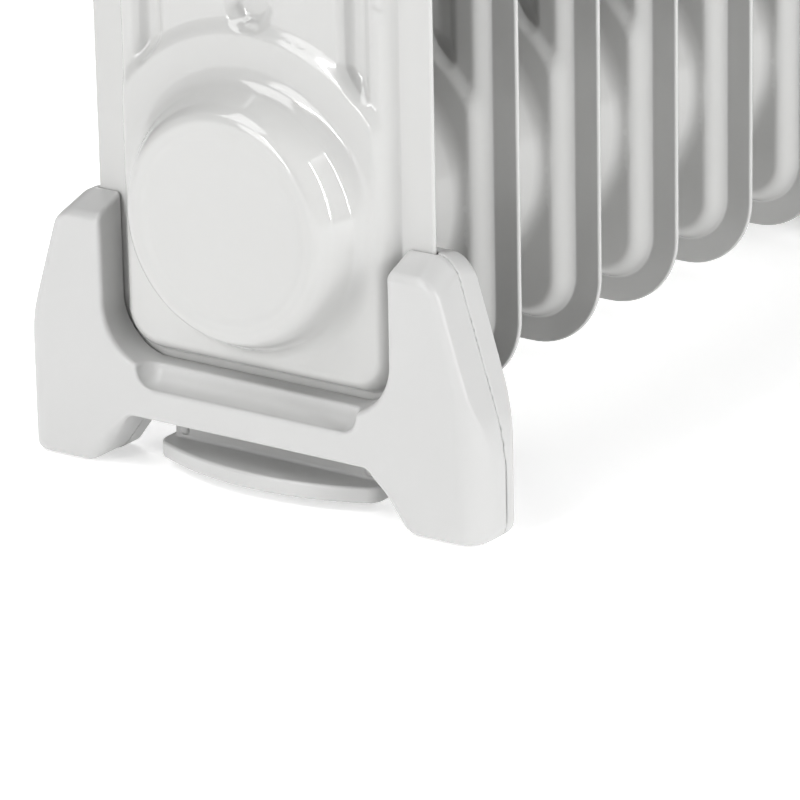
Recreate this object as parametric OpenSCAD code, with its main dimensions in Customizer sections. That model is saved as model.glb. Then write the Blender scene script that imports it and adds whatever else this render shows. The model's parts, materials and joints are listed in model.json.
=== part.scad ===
// Oil filled radiator heater: a row of welded steel fins on two clamped feet with
// fold-out castors, and a control box on one end.
// Millimetres. X runs along the row of fins, the control box is at +X, +Z is up.
// The origin is under the middle of the heater, on the floor.

/* [Fins] */
// Distance from one fin's seam to the next
fin_pitch = 40; // [38:0.5:42]
// Width of a fin across the heater
fin_width = 110; // [108:0.5:112]
// Height of a fin
fin_height = 590; // [580:1:594]
// Radius of a fin's outer corners
fin_corner = 22; // [18:1:26]
// Thickness of one pressed sheet
sheet = 1; // [0.8:0.1:1.2]
// Flat welded border around the pressed panel
seam_border = 7.5; // [7:0.5:8.5]
// Height of the pressed panel above the seam
panel_rise = 5; // [4.5:0.5:6]
// Height of the round header plate above the seam
header_rise = 7; // [6.5:0.5:8]
// Distance from a fin's end to its header centre
header_inset = 55; // [54:1:57]
// Outer radius of the header plate
header_radius = 50; // [48:1:52]
// Radius of a boss at its foot
boss_foot_radius = 38; // [36:1:40]
// Radius of a boss at its face
boss_face_radius = 31.5; // [29:0.5:33]
// Radius of the oil passage through a boss
passage_radius = 24; // [22:1:25]

/* [Feet] */
// Height of the fins above the floor
floor_gap = 23.5; // [23.5:0.5:26]
// Half the width of a foot
foot_half_width = 76.5; // [75:0.5:80]
// Depth of the outer shell in front of the seam
foot_front_depth = 12; // [12:0.5:14]
// Depth of the inner shell behind the seam
foot_rear_depth = 8.5; // [8:0.5:10]
// Height of a foot's leg tops
foot_height = 76; // [75:1:80]
// Wall of the foot shells
foot_wall = 2.4; // [2:0.1:2.8]
// Height of the crossbar's lower edge above the floor
crossbar_bottom = 16.1; // [15.5:0.1:16.5]
// Half width of the opening that shows the fin
opening_half_width = 47.1; // [46:0.1:47.5]
// Height of that opening's floor
opening_floor = 30.3; // [30.1:0.1:31]

/* [Castors] */
// Radius of a castor wheel
wheel_radius = 14; // [12:0.5:14]
// Width of a castor wheel
wheel_width = 12; // [10:0.5:13]
// Distance of a castor's swivel from the middle
swivel_y = 47.5; // [46:0.5:49]
// Distance between swivel and wheel centre
trail = 16; // [15:0.5:17]
// Half width of the folding carrier's lip
lip_half_width = 36.5; // [35:0.5:38]
// Radius of hinge pins
hinge_pin_radius = 2; // [1.5:0.25:2.25]

/* [Control box] */
// Depth of the control box cover
box_depth = 57; // [54:1:64]
// Wall of the cover
box_wall = 2.5; // [2:0.1:3]
// Height of the cover's flat top
box_top = 606; // [602:1:612]
// Overall height, to the top of the handle
overall_height = 640; // [636:1:650]
// Radius of the thermostat knob
knob_radius = 25; // [22:1:27]

/* [Quality] */
// Segments of a full circle
segments = 48; // [32:4:72]

/* [Hidden] */
$fn = segments;
eps = 0.01;
run_gap = 0.05;

// places along the row; NODES names each fin
fin_count = 9;
row_length = (fin_count - 1) * fin_pitch;
boss_rise = fin_pitch / 2;
knob_reach = 80;
x_first = -(row_length + knob_reach - boss_rise) / 2;
x_last = x_first + row_length;
z_low_header = floor_gap + header_inset;
z_high_header = floor_gap + fin_height - header_inset;

// fin pressing
slope_run = 4;
panel_inset = seam_border + slope_run;
groove_floor = 2;
edge_groove_y = 33.5;
edge_groove_width = 7;
middle_groove_width = 12;
groove_end_radius = header_radius + 1;
face_recess = 0.6;
face_recess_radius = 26;
collar_reach = 5;
collar_wall = 1.5;
plug_radius = 9;
plug_reach = 8;
plug_collar_radius = 13;
plug_collar = 2;
plug_head_radius = 10;
plug_head = 8;

// heating element, x from the control box's back plate
element_reach = 245;
rod_radius = 4;
rod_circle = 9;
rod_turn = 30;
rod_out = 14;
terminal_radius = 1.5;
terminal_out = 24;
gasket = 1.5;
flange = 5.5;
flange_radius = 30;
flange_reach = 9;
cutout_z = 170;
cutout_radius = 12;
cutout_base = 5;
cutout_cap_radius = 9;
cutout_height = 11;
cutout_tab_y = 5;
cutout_tab = [19, 2, 0.4];

// foot outline, heights from the floor
slope_start = 25.6;
slope_top_y = 61.9;
slope_top_z = 72;
leg_inner_top_y = 39.5;
leg_inner_foot_y = 50.3;
leg_foot_round = 1.6;
toe_round = 4;
shoulder_round = 5.3;
opening_corner = 16.5;
side_round_y = 8;
top_drop = 0.31;
ample = 100;
fin_slot = sheet + 0.1;
fin_slot_side = fin_width / 2 + 0.3;
scoop_depth = 5.8;
scoop_bottom = 25;
scoop_half_width = 36;
screw_spots = [[-64.5, 20], [64.5, 20], [-61, 54], [61, 54]];
screw_radius = 1.5;

// castor carrier, folded; x from the fin's seam towards the middle of the heater
hinge_x = -6;
hinge_z = 19.5;
lug_radius = 3.4;
lug_inner_y = 24;
lug_width = 6;
ear_width = 3;
lip_bottom = 2.2;
lip_top = 7;
lip_bow_radius = 79.6;
lip_front = -11.2;
lip_back = 6;
wall_x = 2;
wall_thickness = 2.5;
wall_half_width = 34;
rivet_y = 31;
rivet_z = 9.5;
tongue_bottom = 9;
tongue_half_width = 30;
arm_x = 19.5;
arm_thickness = 4;
arm_radius = 6;
swivel_z = 14;
kingpin_radius = 3;
kingpin_head_radius = 5;
kingpin_tail_radius = 4.2;
fork_plate = 3;
fork_plate_radius = 8;
fork_arm = 2;
fork_gap = 0.5;
wheel_x = 41.6;
axle_radius = 2.5;

// control box
box_back = x_last + 9;
box_front = box_back + box_depth;
box_half_width = fin_width / 2;
box_low_half_width = 44;
box_bottom = 36;
box_step = 84;
box_corner = 14;
plate_x = x_last + boss_rise;
plate_thickness = 1.2;
knob_z = 535;
rocker_z = 470;
rocker_y = 15;
lens_z = 435;
gland_z = 62;
gland_bore = 3.7;
hook_heights = [150, 250];
box_screws = [[-44, 570], [44, 570], [-44, 320], [44, 320], [-38, 60], [38, 60]];
screw_head = 2.2;
screw_head_radius = 3;
cover_post_radius = 4;
cover_screw_reach = 13;
vent_first = 120;
vent_last = 420;
vent_pitch = 12;
vent_height = 4;
vent_from = 14;
vent_to = 40;

// thermostat, switches and lamp
spindle_radius = 3;
collar_radius = 5;
sensor_depth = 20;
sensor_half = 16;
sensor_back = 4;
skirt = 3;
knob_taper = 2;
flute_radius = 1.6;
flute_step = 20;
pointer_half = 3.5;
rocker_half_width = 8.2;
rocker_window = [17, 8.5, 13];
rocker_pivot = 4;
rocker_pivot_radius = 1.5;
rocker_tilt = 8;
bezel = [2, 13, 18];
tub = [20, 10.9, 15.9];
lens_radius = 4;
lens_rim = 5.2;
lens_height = 1.8;

// tilt switch, terminal block and cord gland
tilt_low = [0, -18, 220];
tilt_size = [16, 22, 26];
tilt_cap_radius = 4;
tilt_cap = 8;
terminal_low = [0, 14, 130];
terminal_size = [14, 18, 42];
terminal_holes = [137, 151, 165];
gland_seat = 7;
gland_flange = [10, 9, 3];
gland_sleeve = [6.5, 5.6, 12];

// cord hooks
hook_half_width = 16;
hook_half_height = 3;
hook_neck = 10;
hook_reach = 13.5;
hook_plate_half = 20;
hook_plate_height = 16;
handle_x = box_back + 26;
handle_half_depth = 14;
handle_screw_y = 48;
handle_half_width = 54;
handle_corner = 11;
grip_half_width = 42;
grip_top = 10;
grip_corner = 7;
lean_drop = 34;
lean_back = 12;
chamfer = 8;

enamel = [0.90, 0.90, 0.89];
white_plastic = [0.86, 0.86, 0.85];
grey_plastic = [0.45, 0.46, 0.47];
dark_plastic = [0.16, 0.16, 0.17];
steel = [0.66, 0.67, 0.69];
brass = [0.78, 0.64, 0.32];
amber = [0.85, 0.30, 0.12];

// ---- helpers ----

// extrudes an outline drawn in Y and Z along X, from x0 to x1
module along_x(x0, x1) {
    translate([x0, 0, 0])
        rotate([90, 0, 90])
            linear_extrude(x1 - x0)
                children();
}

// a cylinder along X
module rod_x(x0, x1, r, r2 = -1) {
    translate([x0, 0, 0])
        rotate([0, 90, 0])
            cylinder(h = x1 - x0, r1 = r, r2 = r2 < 0 ? r : r2);
}

// a cylinder along Y
module rod_y(y0, y1, r) {
    translate([0, y0, 0])
        rotate([-90, 0, 0])
            cylinder(h = y1 - y0, r = r);
}

// a box given by its two corners
module block(low, high) {
    translate(low)
        cube(high - low);
}

// a rectangle with round corners, given by its two corners
module round_rect(low, high, r) {
    translate([low[0] + r, low[1]])
        square([high[0] - low[0] - 2 * r, high[1] - low[1]]);
    translate([low[0], low[1] + r])
        square([high[0] - low[0], high[1] - low[1] - 2 * r]);
    for (x = [low[0] + r, high[0] - r], y = [low[1] + r, high[1] - r])
        translate([x, y])
            circle(r);
}

function arc(cx, cy, r, a0, a1, n) =
    [for (i = [0:n]) let (a = a0 + (a1 - a0) * i / n) [cx + r * cos(a), cy + r * sin(a)]];

function mirrored(points) =
    [for (i = [len(points) - 1:-1:0]) [-points[i][0], points[i][1]]];

// puts a foot's parts at the bare end (a) or, turned round, at the control end (b)
module at_end(b) {
    translate([b ? x_last : x_first, 0, 0])
        rotate([0, 0, b ? 180 : 0])
            children();
}

// ---- fins ----

// outline of a fin moved in by a distance, from the fin's own bottom edge
module fin_outline(inset) {
    round_rect([-fin_width / 2 + inset, inset], [fin_width / 2 - inset, fin_height - inset],
        max(fin_corner - inset, 4));
}

module pressed_panel() {
    hull() {
        along_x(0, sheet)
            fin_outline(seam_border, $fn = 32);
        along_x(0, panel_rise)
            fin_outline(panel_inset, $fn = 32);
    }
    for (z = [header_inset, fin_height - header_inset])
        intersection() {
            translate([0, 0, z])
                rod_x(0, header_rise, header_radius);
            block([0, -fin_width / 2 + panel_inset, panel_inset],
                [header_rise, fin_width / 2 - panel_inset, fin_height - panel_inset]);
        }
}

module boss(z) {
    translate([0, 0, z])
        rod_x(header_rise - 1, boss_rise, boss_foot_radius, boss_face_radius);
}

// how far beyond a header's centre a valley at y starts
function groove_reach(y) = sqrt(pow(groove_end_radius, 2) - pow(y, 2));

// pressed valleys between the vertical oil channels
module grooves() {
    for (y = [-edge_groove_y, 0, edge_groove_y]) {
        width = y == 0 ? middle_groove_width : edge_groove_width;
        reach = groove_reach(y);
        along_x(groove_floor, header_rise + 1)
            round_rect([y - width / 2, header_inset + reach],
                [y + width / 2, fin_height - header_inset - reach], width / 2 - 0.1);
    }
}

// the parts of the panel that stand clear of the valleys
module open_strips() {
    wall = sheet + 0.5;
    inner = middle_groove_width / 2 + wall;
    outer = edge_groove_y + edge_groove_width / 2 + wall;
    end_strip = header_inset + groove_reach(edge_groove_y) - wall;
    for (side = [0, 1])
        mirror([side, 0]) {
            translate([inner, 0])
                square([edge_groove_y - edge_groove_width / 2 - wall - inner, fin_height]);
            translate([outer, 0])
                square([fin_width / 2, fin_height]);
        }
    for (z = [0, fin_height - end_strip])
        translate([-fin_width / 2, z])
            square([fin_width, end_strip]);
}

// the oil space of one half: a thin core, the tall channels and two round headers
module oil_space() {
    inset = panel_inset + sheet + 0.2;
    along_x(-eps, groove_floor - sheet)
        fin_outline(inset);
    along_x(-eps, panel_rise - sheet)
        intersection() {
            fin_outline(inset);
            open_strips();
        }
    for (z = [header_inset, fin_height - header_inset]) {
        along_x(-eps, header_rise - sheet)
            intersection() {
                fin_outline(inset);
                translate([0, z])
                    circle(header_radius - sheet - 0.2);
            }
        translate([0, 0, z])
            rod_x(header_rise - sheet - eps, boss_rise - 2 * sheet,
                boss_foot_radius - 1.5, boss_face_radius - 0.8);
    }
}

// a hole through one boss face
module face_hole(z, r) {
    translate([0, 0, z])
        rod_x(boss_rise - 2 * sheet - 1, boss_rise + 1, r);
}

module fin_half(low_hole, high_hole, marked_face) {
    difference() {
        union() {
            along_x(0, sheet)
                fin_outline(0);
            pressed_panel();
            boss(header_inset);
            boss(fin_height - header_inset);
        }
        grooves();
        oil_space();
        if (low_hole > 0)
            face_hole(header_inset, low_hole);
        if (high_hole > 0)
            face_hole(fin_height - header_inset, high_hole);
        if (marked_face)
            translate([0, 0, header_inset])
                rod_x(boss_rise - face_recess, boss_rise + 1, face_recess_radius);
    }
}

module fin(i) {
    first = i == 0;
    last = i == fin_count - 1;
    color(enamel)
        translate([x_first + i * fin_pitch, 0, floor_gap]) {
            fin_half(passage_radius, last ? plug_radius : passage_radius, false);
            mirror([1, 0, 0])
                fin_half(first ? 0 : passage_radius, first ? 0 : passage_radius, first);
        }
}

module header_collars() {
    color(steel)
        for (i = [0:fin_count - 2], z = [z_low_header, z_high_header])
            translate([x_first + i * fin_pitch + boss_rise, 0, z])
                difference() {
                    rod_x(-collar_reach, collar_reach, passage_radius - run_gap);
                    rod_x(-collar_reach - 1, collar_reach + 1, passage_radius - collar_wall);
                }
}

module filler_plug() {
    color(brass)
        translate([x_last, 0, z_high_header]) {
            rod_x(boss_rise - plug_reach, boss_rise + plate_thickness, plug_radius - run_gap);
            translate([boss_rise + plate_thickness, 0, 0])
                rod_x(0, plug_collar, plug_collar_radius);
            translate([boss_rise + plate_thickness, 0, 0])
                rotate([0, 90, 0])
                    cylinder(h = plug_head, r = plug_head_radius, $fn = 6);
        }
}

// ---- heating element ----

module element_flange() {
    color(brass)
        translate([plate_x, 0, z_low_header])
            difference() {
                union() {
                    rod_x(-flange_reach, plate_thickness + gasket, passage_radius - run_gap);
                    rod_x(plate_thickness + gasket, plate_thickness + gasket + flange, flange_radius);
                }
                for (a = [0:60:300])
                    rotate([a, 0, 0])
                        translate([0, rod_circle, 0])
                            rod_x(-flange_reach - 1, rod_out + 6, rod_radius + run_gap);
            }
}

module element_gasket() {
    color(dark_plastic)
        translate([plate_x + plate_thickness, 0, z_low_header])
            difference() {
                rod_x(0, gasket, flange_radius);
                rod_x(-1, gasket + 1, passage_radius + 2 * run_gap);
            }
}

// three hairpin rods that heat the oil in the low header
module heating_rods() {
    color(steel)
        translate([plate_x, 0, z_low_header])
            for (a = [0, 120, 240])
                rotate([a, 0, 0])
                    hairpin();
}

module hairpin() {
    bend = rod_circle * sin(rod_turn);
    out = rod_circle * cos(rod_turn);
    rotate([rod_turn, 0, 0]) {
        for (s = [-1, 1])
            translate([0, out, s * bend]) {
                rod_x(-element_reach, rod_out, rod_radius);
                rod_x(rod_out, terminal_out, terminal_radius);
            }
        translate([-element_reach, out, 0])
            rotate([90, 0, 0])
                intersection() {
                    rotate_extrude()
                        translate([bend, 0])
                            circle(rod_radius, $fn = 24);
                    block([-2 * rod_circle, -2 * rod_circle, -rod_radius - 1],
                        [0, 2 * rod_circle, rod_radius + 1]);
                }
    }
}

module thermal_cutout() {
    color(dark_plastic)
        translate([plate_x + plate_thickness, 0, cutout_z]) {
            rod_x(0, cutout_base, cutout_radius);
            rod_x(cutout_base, cutout_height, cutout_cap_radius);
        }
    color(steel)
        for (y = [-cutout_tab_y, cutout_tab_y])
            translate([plate_x + plate_thickness, 0, cutout_z])
                block([cutout_height, y - cutout_tab[1], -cutout_tab[2]],
                    [cutout_tab[0], y + cutout_tab[1], cutout_tab[2]]);
}

// ---- feet; drawn for the bare end with the fin's seam at x = 0 ----

// the whole foot seen along X
function foot_points() =
    let (
        side = foot_half_width,
        right = concat(
            [[leg_inner_top_y, crossbar_bottom], [leg_inner_foot_y, 0.8 * leg_foot_round],
                [leg_inner_foot_y + leg_foot_round, 0]],
            arc(side - toe_round, toe_round, toe_round, -90, 0, 6),
            [[side, slope_start]],
            arc(slope_top_y - shoulder_round, slope_top_z - 0.25 * shoulder_round, shoulder_round, 17,
                90, 6),
            [[opening_half_width, foot_height]],
            arc(opening_half_width - opening_corner, opening_floor + opening_corner,
                opening_corner, 0, -90, 10)))
    concat(right, mirrored(right));

module foot_outline() {
    polygon(foot_points());
}

// the foot seen from above: broad rounds between its face and its sides
module foot_plan(inset) {
    side = foot_half_width - inset;
    front = foot_front_depth - inset;
    rear = foot_rear_depth - inset;
    half = concat(
        [for (i = [0:10]) let (a = 9 * i) [-front * cos(a), side - side_round_y * (1 - sin(a))]],
        [for (i = [0:10]) let (a = 9 * i) [1 + (rear - 1) * sin(a), side - side_round_y * (1 - cos(a))]]);
    polygon(concat(half, [for (i = [len(half) - 1:-1:0]) [half[i][0], -half[i][1]]]));
}

// solid shape of a foot between two planes, moved in by a wall
module foot_body(x0, x1, inset) {
    difference() {
        intersection() {
            along_x(x0, x1)
                offset(delta = -inset)
                    foot_outline();
            linear_extrude(foot_height + 10)
                foot_plan(inset);
        }
        translate([0, 0, foot_height - inset])
            rotate([0, -atan(top_drop), 0])
                block([-ample, -ample, 0], [0, ample, ample]);
        translate([0, 0, foot_height - inset])
            rotate([0, atan(top_drop / 2), 0])
                block([0, -ample, 0], [ample, ample, ample]);
    }
}

// the slot that takes the fin's welded border and the start of its pressed slope
module fin_slot_space() {
    slope_y = fin_width / 2 - seam_border + 0.1;
    block([-fin_slot, -fin_slot_side, floor_gap - 0.2], [fin_slot, fin_slot_side, foot_height + 10]);
    block([-fin_slot - 0.6, -slope_y, opening_floor + 1],
        [fin_slot + 0.6, slope_y, foot_height + 10]);
}

// finger recess along the crossbar's upper edge
module scoop() {
    back = -foot_front_depth + scoop_depth;
    end_slope = scoop_depth / 1.5;
    translate([0, 0, scoop_bottom])
        linear_extrude(20)
            polygon([[-foot_front_depth, -scoop_half_width], [back, end_slope - scoop_half_width],
                [back, scoop_half_width - end_slope], [-foot_front_depth, scoop_half_width],
                [-foot_front_depth - 1, scoop_half_width], [-foot_front_depth - 1, -scoop_half_width]]);
}

module foot_outer_shell(b) {
    color(white_plastic)
        at_end(b)
            difference() {
                union() {
                    difference() {
                        foot_body(-foot_front_depth - 1, -eps, 0);
                        difference() {
                            foot_body(-foot_front_depth + foot_wall, 1, foot_wall);
                            scoop_wall();
                        }
                    }
                    hinge_ears();
                    screw_posts(-foot_front_depth + 1, -eps, 4);
                }
                fin_slot_space();
                scoop();
                lug_slots();
                hinge_bores();
                screw_bores(-8, 1, screw_radius + run_gap);
            }
}

// material kept behind the finger recess
module scoop_wall() {
    block([-foot_front_depth, -scoop_half_width - 2, scoop_bottom - 1.6],
        [-foot_front_depth + scoop_depth + 1.6, scoop_half_width + 2, opening_floor + 1]);
}

module hinge_ears() {
    for (side = [-1, 1], y = [lug_inner_y - 0.4 - ear_width, lug_inner_y + lug_width + 0.4])
        mirror([0, side < 0 ? 1 : 0, 0])
            block([-foot_front_depth + 1, y, crossbar_bottom], [-0.3, y + ear_width, opening_floor - 1]);
}

// room for the carrier's lugs through the crossbar's underside
module lug_slots() {
    for (side = [-1, 1])
        mirror([0, side < 0 ? 1 : 0, 0])
            block([-foot_front_depth + foot_wall - 0.2, lug_inner_y - 0.4, 0],
                [1, lug_inner_y + lug_width + 0.4, scoop_bottom - 1.6]);
}

module hinge_bores() {
    for (side = [-1, 1])
        mirror([0, side < 0 ? 1 : 0, 0])
            translate([hinge_x, 0, hinge_z])
                rod_y(lug_inner_y - 6, lug_inner_y + lug_width + 6, hinge_pin_radius + run_gap);
}

module screw_posts(x0, x1, r) {
    for (spot = screw_spots)
        translate([0, spot[0], spot[1]])
            rod_x(x0, x1, r);
}

module screw_bores(x0, x1, r) {
    for (spot = screw_spots)
        translate([0, spot[0], spot[1]])
            rod_x(x0, x1, r);
}

module foot_inner_shell(b) {
    bar_bottom = floor_gap;
    color(white_plastic)
        at_end(b)
            difference() {
                union() {
                    difference() {
                        foot_body(0, foot_rear_depth + 1, 0);
                        foot_body(-1, foot_rear_depth - foot_wall, foot_wall);
                    }
                    screw_posts(0, foot_rear_depth - 1, 6);
                    block([0, -opening_half_width, bar_bottom],
                        [foot_rear_depth, opening_half_width, floor_gap + seam_border - 0.2]);
                }
                fin_slot_space();
                block([-1, -leg_inner_top_y + 1, -1], [20, leg_inner_top_y - 1, bar_bottom]);
                screw_bores(-1, 20, screw_radius + 0.3);
                screw_bores(foot_rear_depth - 3, 20, 4.1);
            }
}

module foot_screws(b) {
    color(steel)
        at_end(b)
            for (spot = screw_spots)
                translate([0, spot[0], spot[1]])
                    difference() {
                        union() {
                            rod_x(-7, foot_rear_depth - 3, screw_radius);
                            rod_x(foot_rear_depth - 3, foot_rear_depth - 0.6, 3.8, 3.2);
                        }
                        block([foot_rear_depth - 1.8, -2.4, -0.5], [foot_rear_depth, 2.4, 0.5]);
                        block([foot_rear_depth - 1.8, -0.5, -2.4], [foot_rear_depth, 0.5, 2.4]);
                    }
}

module foot_hinge_pins(b) {
    color(steel)
        at_end(b)
            for (side = [-1, 1])
                mirror([0, side < 0 ? 1 : 0, 0])
                    translate([hinge_x, 0, hinge_z])
                        rod_y(lug_inner_y - 4.4, lug_inner_y + lug_width + 4.4, hinge_pin_radius);
}

// ---- castor carrier, folded ----

module lip_plan(inset) {
    intersection() {
        translate([lip_front + lip_bow_radius, 0])
            circle(lip_bow_radius - inset, $fn = 96);
        translate([lip_front - 1, -lip_half_width + inset])
            square([lip_back - inset - lip_front + 1, 2 * (lip_half_width - inset)]);
    }
}

module carrier(b) {
    color(white_plastic)
        at_end(b)
            difference() {
                union() {
                    translate([0, 0, lip_bottom])
                        linear_extrude(lip_top - lip_bottom)
                            lip_plan(0);
                    block([wall_x, -wall_half_width, lip_bottom + 1],
                        [wall_x + wall_thickness, wall_half_width, hinge_z]);
                    carrier_lugs();
                    block([wall_x + 1, -tongue_half_width, tongue_bottom],
                        [arm_x + 1, tongue_half_width, tongue_bottom + 4]);
                    for (y = [-tongue_half_width, -1.5, tongue_half_width - 3])
                        block([wall_x + 1, y, lip_top - 1], [arm_x + 1, y + 3, swivel_z + 4]);
                    carrier_arm();
                    for (y = [-rivet_y, rivet_y])
                        translate([0, y, rivet_z])
                            rod_x(wall_x - 0.8, wall_x, 1.2, 1.8);
                }
                translate([0, 0, lip_bottom - 1])
                    linear_extrude(lip_top - lip_bottom - 1.4)
                        lip_plan(2.2);
                for (y = [-swivel_y, swivel_y])
                    translate([0, y, swivel_z])
                        rod_x(arm_x - 1, arm_x + arm_thickness + 1, kingpin_radius + run_gap);
                translate([hinge_x, 0, hinge_z])
                    rod_y(-50, 50, hinge_pin_radius + run_gap);
            }
}

module carrier_lugs() {
    for (side = [-1, 1])
        mirror([0, side < 0 ? 1 : 0, 0]) {
            translate([hinge_x, 0, hinge_z])
                rod_y(lug_inner_y, lug_inner_y + lug_width, lug_radius);
            block([hinge_x, lug_inner_y, hinge_z - lug_radius],
                [wall_x + wall_thickness, lug_inner_y + lug_width, hinge_z + lug_radius]);
        }
}

module carrier_arm() {
    block([arm_x, -swivel_y, swivel_z - arm_radius],
        [arm_x + arm_thickness, swivel_y, swivel_z + arm_radius]);
    for (y = [-swivel_y, swivel_y])
        translate([0, y, swivel_z])
            rod_x(arm_x, arm_x + arm_thickness, arm_radius + 2);
}

module carrier_kingpins(b) {
    shank_end = arm_x + arm_thickness + 2 * 0.3 + fork_plate;
    color(steel)
        at_end(b)
            for (y = [-swivel_y, swivel_y])
                translate([0, y, swivel_z]) {
                    rod_x(arm_x - 1.5, arm_x, kingpin_head_radius - 1, kingpin_head_radius);
                    rod_x(arm_x, shank_end, kingpin_radius);
                    rod_x(shank_end, shank_end + 1.5, kingpin_tail_radius);
                }
}

// the frame of one castor: its swivel at y = 0, z = 0, its wheel towards -Y
module at_castor(b, side) {
    at_end(b)
        mirror([0, side < 0 ? 1 : 0, 0])
            translate([0, swivel_y, swivel_z])
                children();
}

module castor_fork(b, side) {
    plate_x0 = arm_x + arm_thickness + 0.3;
    outer = wheel_width / 2 + fork_gap + fork_arm;
    color(grey_plastic)
        at_castor(b, side)
            difference() {
                union() {
                    rod_x(plate_x0, plate_x0 + fork_plate, fork_plate_radius);
                    intersection() {
                        block([plate_x0, -trail + 2, -outer], [plate_x0 + fork_plate, 0, outer]);
                        rod_x(plate_x0, plate_x0 + fork_plate, trail);
                    }
                    for (z = [-outer, outer - fork_arm])
                        translate([0, 0, z])
                            linear_extrude(fork_arm)
                                fork_side();
                }
                rod_x(plate_x0 - 1, plate_x0 + fork_plate + 1, kingpin_radius + run_gap);
                translate([wheel_x, -trail, -outer - 1])
                    cylinder(h = 2 * outer + 2, r = axle_radius + run_gap);
            }
}

// one cheek of a fork, from the swivel plate to round the axle
module fork_side() {
    plate_x0 = arm_x + arm_thickness + 0.3;
    polygon([[plate_x0, 0], [plate_x0, -trail + 4], [wheel_x - 3, -trail - 5.2], [wheel_x + 3, -trail + 5.2],
        [plate_x0 + fork_plate + 3, 0]]);
    translate([wheel_x, -trail])
        circle(6);
}

module castor_axle(b, side) {
    outer = wheel_width / 2 + fork_gap + fork_arm;
    color(steel)
        at_castor(b, side)
            translate([wheel_x, -trail, -outer])
                cylinder(h = 2 * outer, r = axle_radius);
}

module castor_wheel(b, side) {
    half = wheel_width / 2;
    color(dark_plastic)
        at_castor(b, side)
            translate([wheel_x, -trail, 0])
                rotate_extrude()
                    polygon([[axle_radius + run_gap, -half], [5, -half], [5.6, 1.5 - half],
                        [wheel_radius - 4, 1.5 - half], [wheel_radius - 3, -half],
                        [wheel_radius - 1.2, -half], [wheel_radius, 1.4 - half],
                        [wheel_radius, half - 1.4], [wheel_radius - 1.2, half],
                        [wheel_radius - 3, half], [wheel_radius - 4, half - 1.5],
                        [5.6, half - 1.5], [5, half], [axle_radius + run_gap, half]]);
}

// ---- control box ----

module box_outline(inset) {
    round_rect([-box_half_width + inset, box_step + inset],
        [box_half_width - inset, box_top + 8 - inset], box_corner - inset);
    round_rect([-box_low_half_width + inset, box_bottom + inset],
        [box_low_half_width - inset, box_step + 40], box_corner - inset);
}

// the box seen along Y, with its sloping top edge and lower edge
module box_profile(inset) {
    front = box_front - inset;
    polygon([[box_back - 1, box_bottom + inset], [front - chamfer, box_bottom + inset],
        [front, box_bottom + chamfer + inset], [front, box_top - lean_drop],
        [front - lean_back, box_top - inset],
        [box_back - 1, box_top - inset]]);
}

module box_body(x0, inset) {
    intersection() {
        along_x(x0, box_front)
            box_outline(inset);
        translate([0, ample, 0])
            rotate([90, 0, 0])
                linear_extrude(2 * ample)
                    box_profile(inset);
    }
}

module control_cover() {
    color(white_plastic)
        difference() {
            union() {
                difference() {
                    box_body(box_back, 0);
                    box_body(box_back - 1, box_wall);
                }
                for (spot = box_screws)
                    translate([0, spot[0], spot[1]])
                        rod_x(plate_x + plate_thickness, box_front - 1, cover_post_radius);
            }
            for (spot = box_screws)
                translate([0, spot[0], spot[1]])
                    rod_x(plate_x, plate_x + cover_screw_reach + 1, screw_radius + run_gap);
            translate([0, 0, knob_z])
                rod_x(box_front - chamfer, box_front + 1, collar_radius);
            along_x(box_front - chamfer, box_front + 1)
                round_rect([-rocker_y - tub[1] - 0.1, rocker_z - tub[2] - 0.1],
                    [rocker_y + tub[1] + 0.1, rocker_z + tub[2] + 0.1], 2);
            translate([0, 0, lens_z])
                rod_x(box_front - chamfer, box_front + 1, lens_radius + run_gap);
            translate([0, 0, gland_z])
                rod_x(box_front - chamfer, box_front + 1, gland_seat + run_gap);
            vents();
            for (y = [-handle_screw_y, handle_screw_y])
                translate([handle_x, y, box_top - 10])
                    cylinder(h = 20, r = screw_radius + 0.3);
        }
}

// slots that let warm air out of both sides of the box
module vents() {
    for (z = [vent_first:vent_pitch:vent_last])
        block([box_back + vent_from, -ample, z], [box_back + vent_to, ample, z + vent_height]);
}

module back_plate() {
    inset = box_wall + 0.4;
    color(steel)
        difference() {
            along_x(plate_x, plate_x + plate_thickness)
                round_rect([-box_half_width + inset, box_step + inset],
                    [box_half_width - inset, box_top - inset], box_corner - inset);
            plate_holes();
        }
    color(steel)
        difference() {
            along_x(plate_x, plate_x + plate_thickness)
                round_rect([-box_low_half_width + inset, box_bottom + inset],
                    [box_low_half_width - inset, box_step + 20], box_corner - inset);
            plate_holes();
        }
}

module plate_holes() {
    translate([0, 0, z_low_header])
        rod_x(plate_x - 1, plate_x + plate_thickness + 1, passage_radius + 0.2);
    translate([0, 0, z_high_header])
        rod_x(plate_x - 1, plate_x + plate_thickness + 1, plug_radius + 0.2);
    for (spot = box_screws)
        translate([0, spot[0], spot[1]])
            rod_x(plate_x - 1, plate_x + plate_thickness + 1, screw_radius + 0.3);
}

module cover_screws() {
    color(steel)
        for (spot = box_screws)
            translate([0, spot[0], spot[1]]) {
                rod_x(plate_x - screw_head, plate_x, screw_head_radius);
                rod_x(plate_x, plate_x + cover_screw_reach, screw_radius);
            }
}

module thermostat_body() {
    front = box_front - box_wall - sensor_back;
    color(dark_plastic)
        translate([0, 0, knob_z])
            difference() {
                union() {
                    block([front - sensor_depth, -sensor_half, -sensor_half],
                        [front, sensor_half, sensor_half]);
                    rod_x(front, box_front, collar_radius - run_gap);
                }
                rod_x(front - 14, box_front + 1, spindle_radius + run_gap);
            }
}

module thermostat_shaft() {
    color(brass)
        translate([0, 0, knob_z])
            rod_x(box_front - box_wall - sensor_back - 13, box_front + 10, spindle_radius);
}

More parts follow.
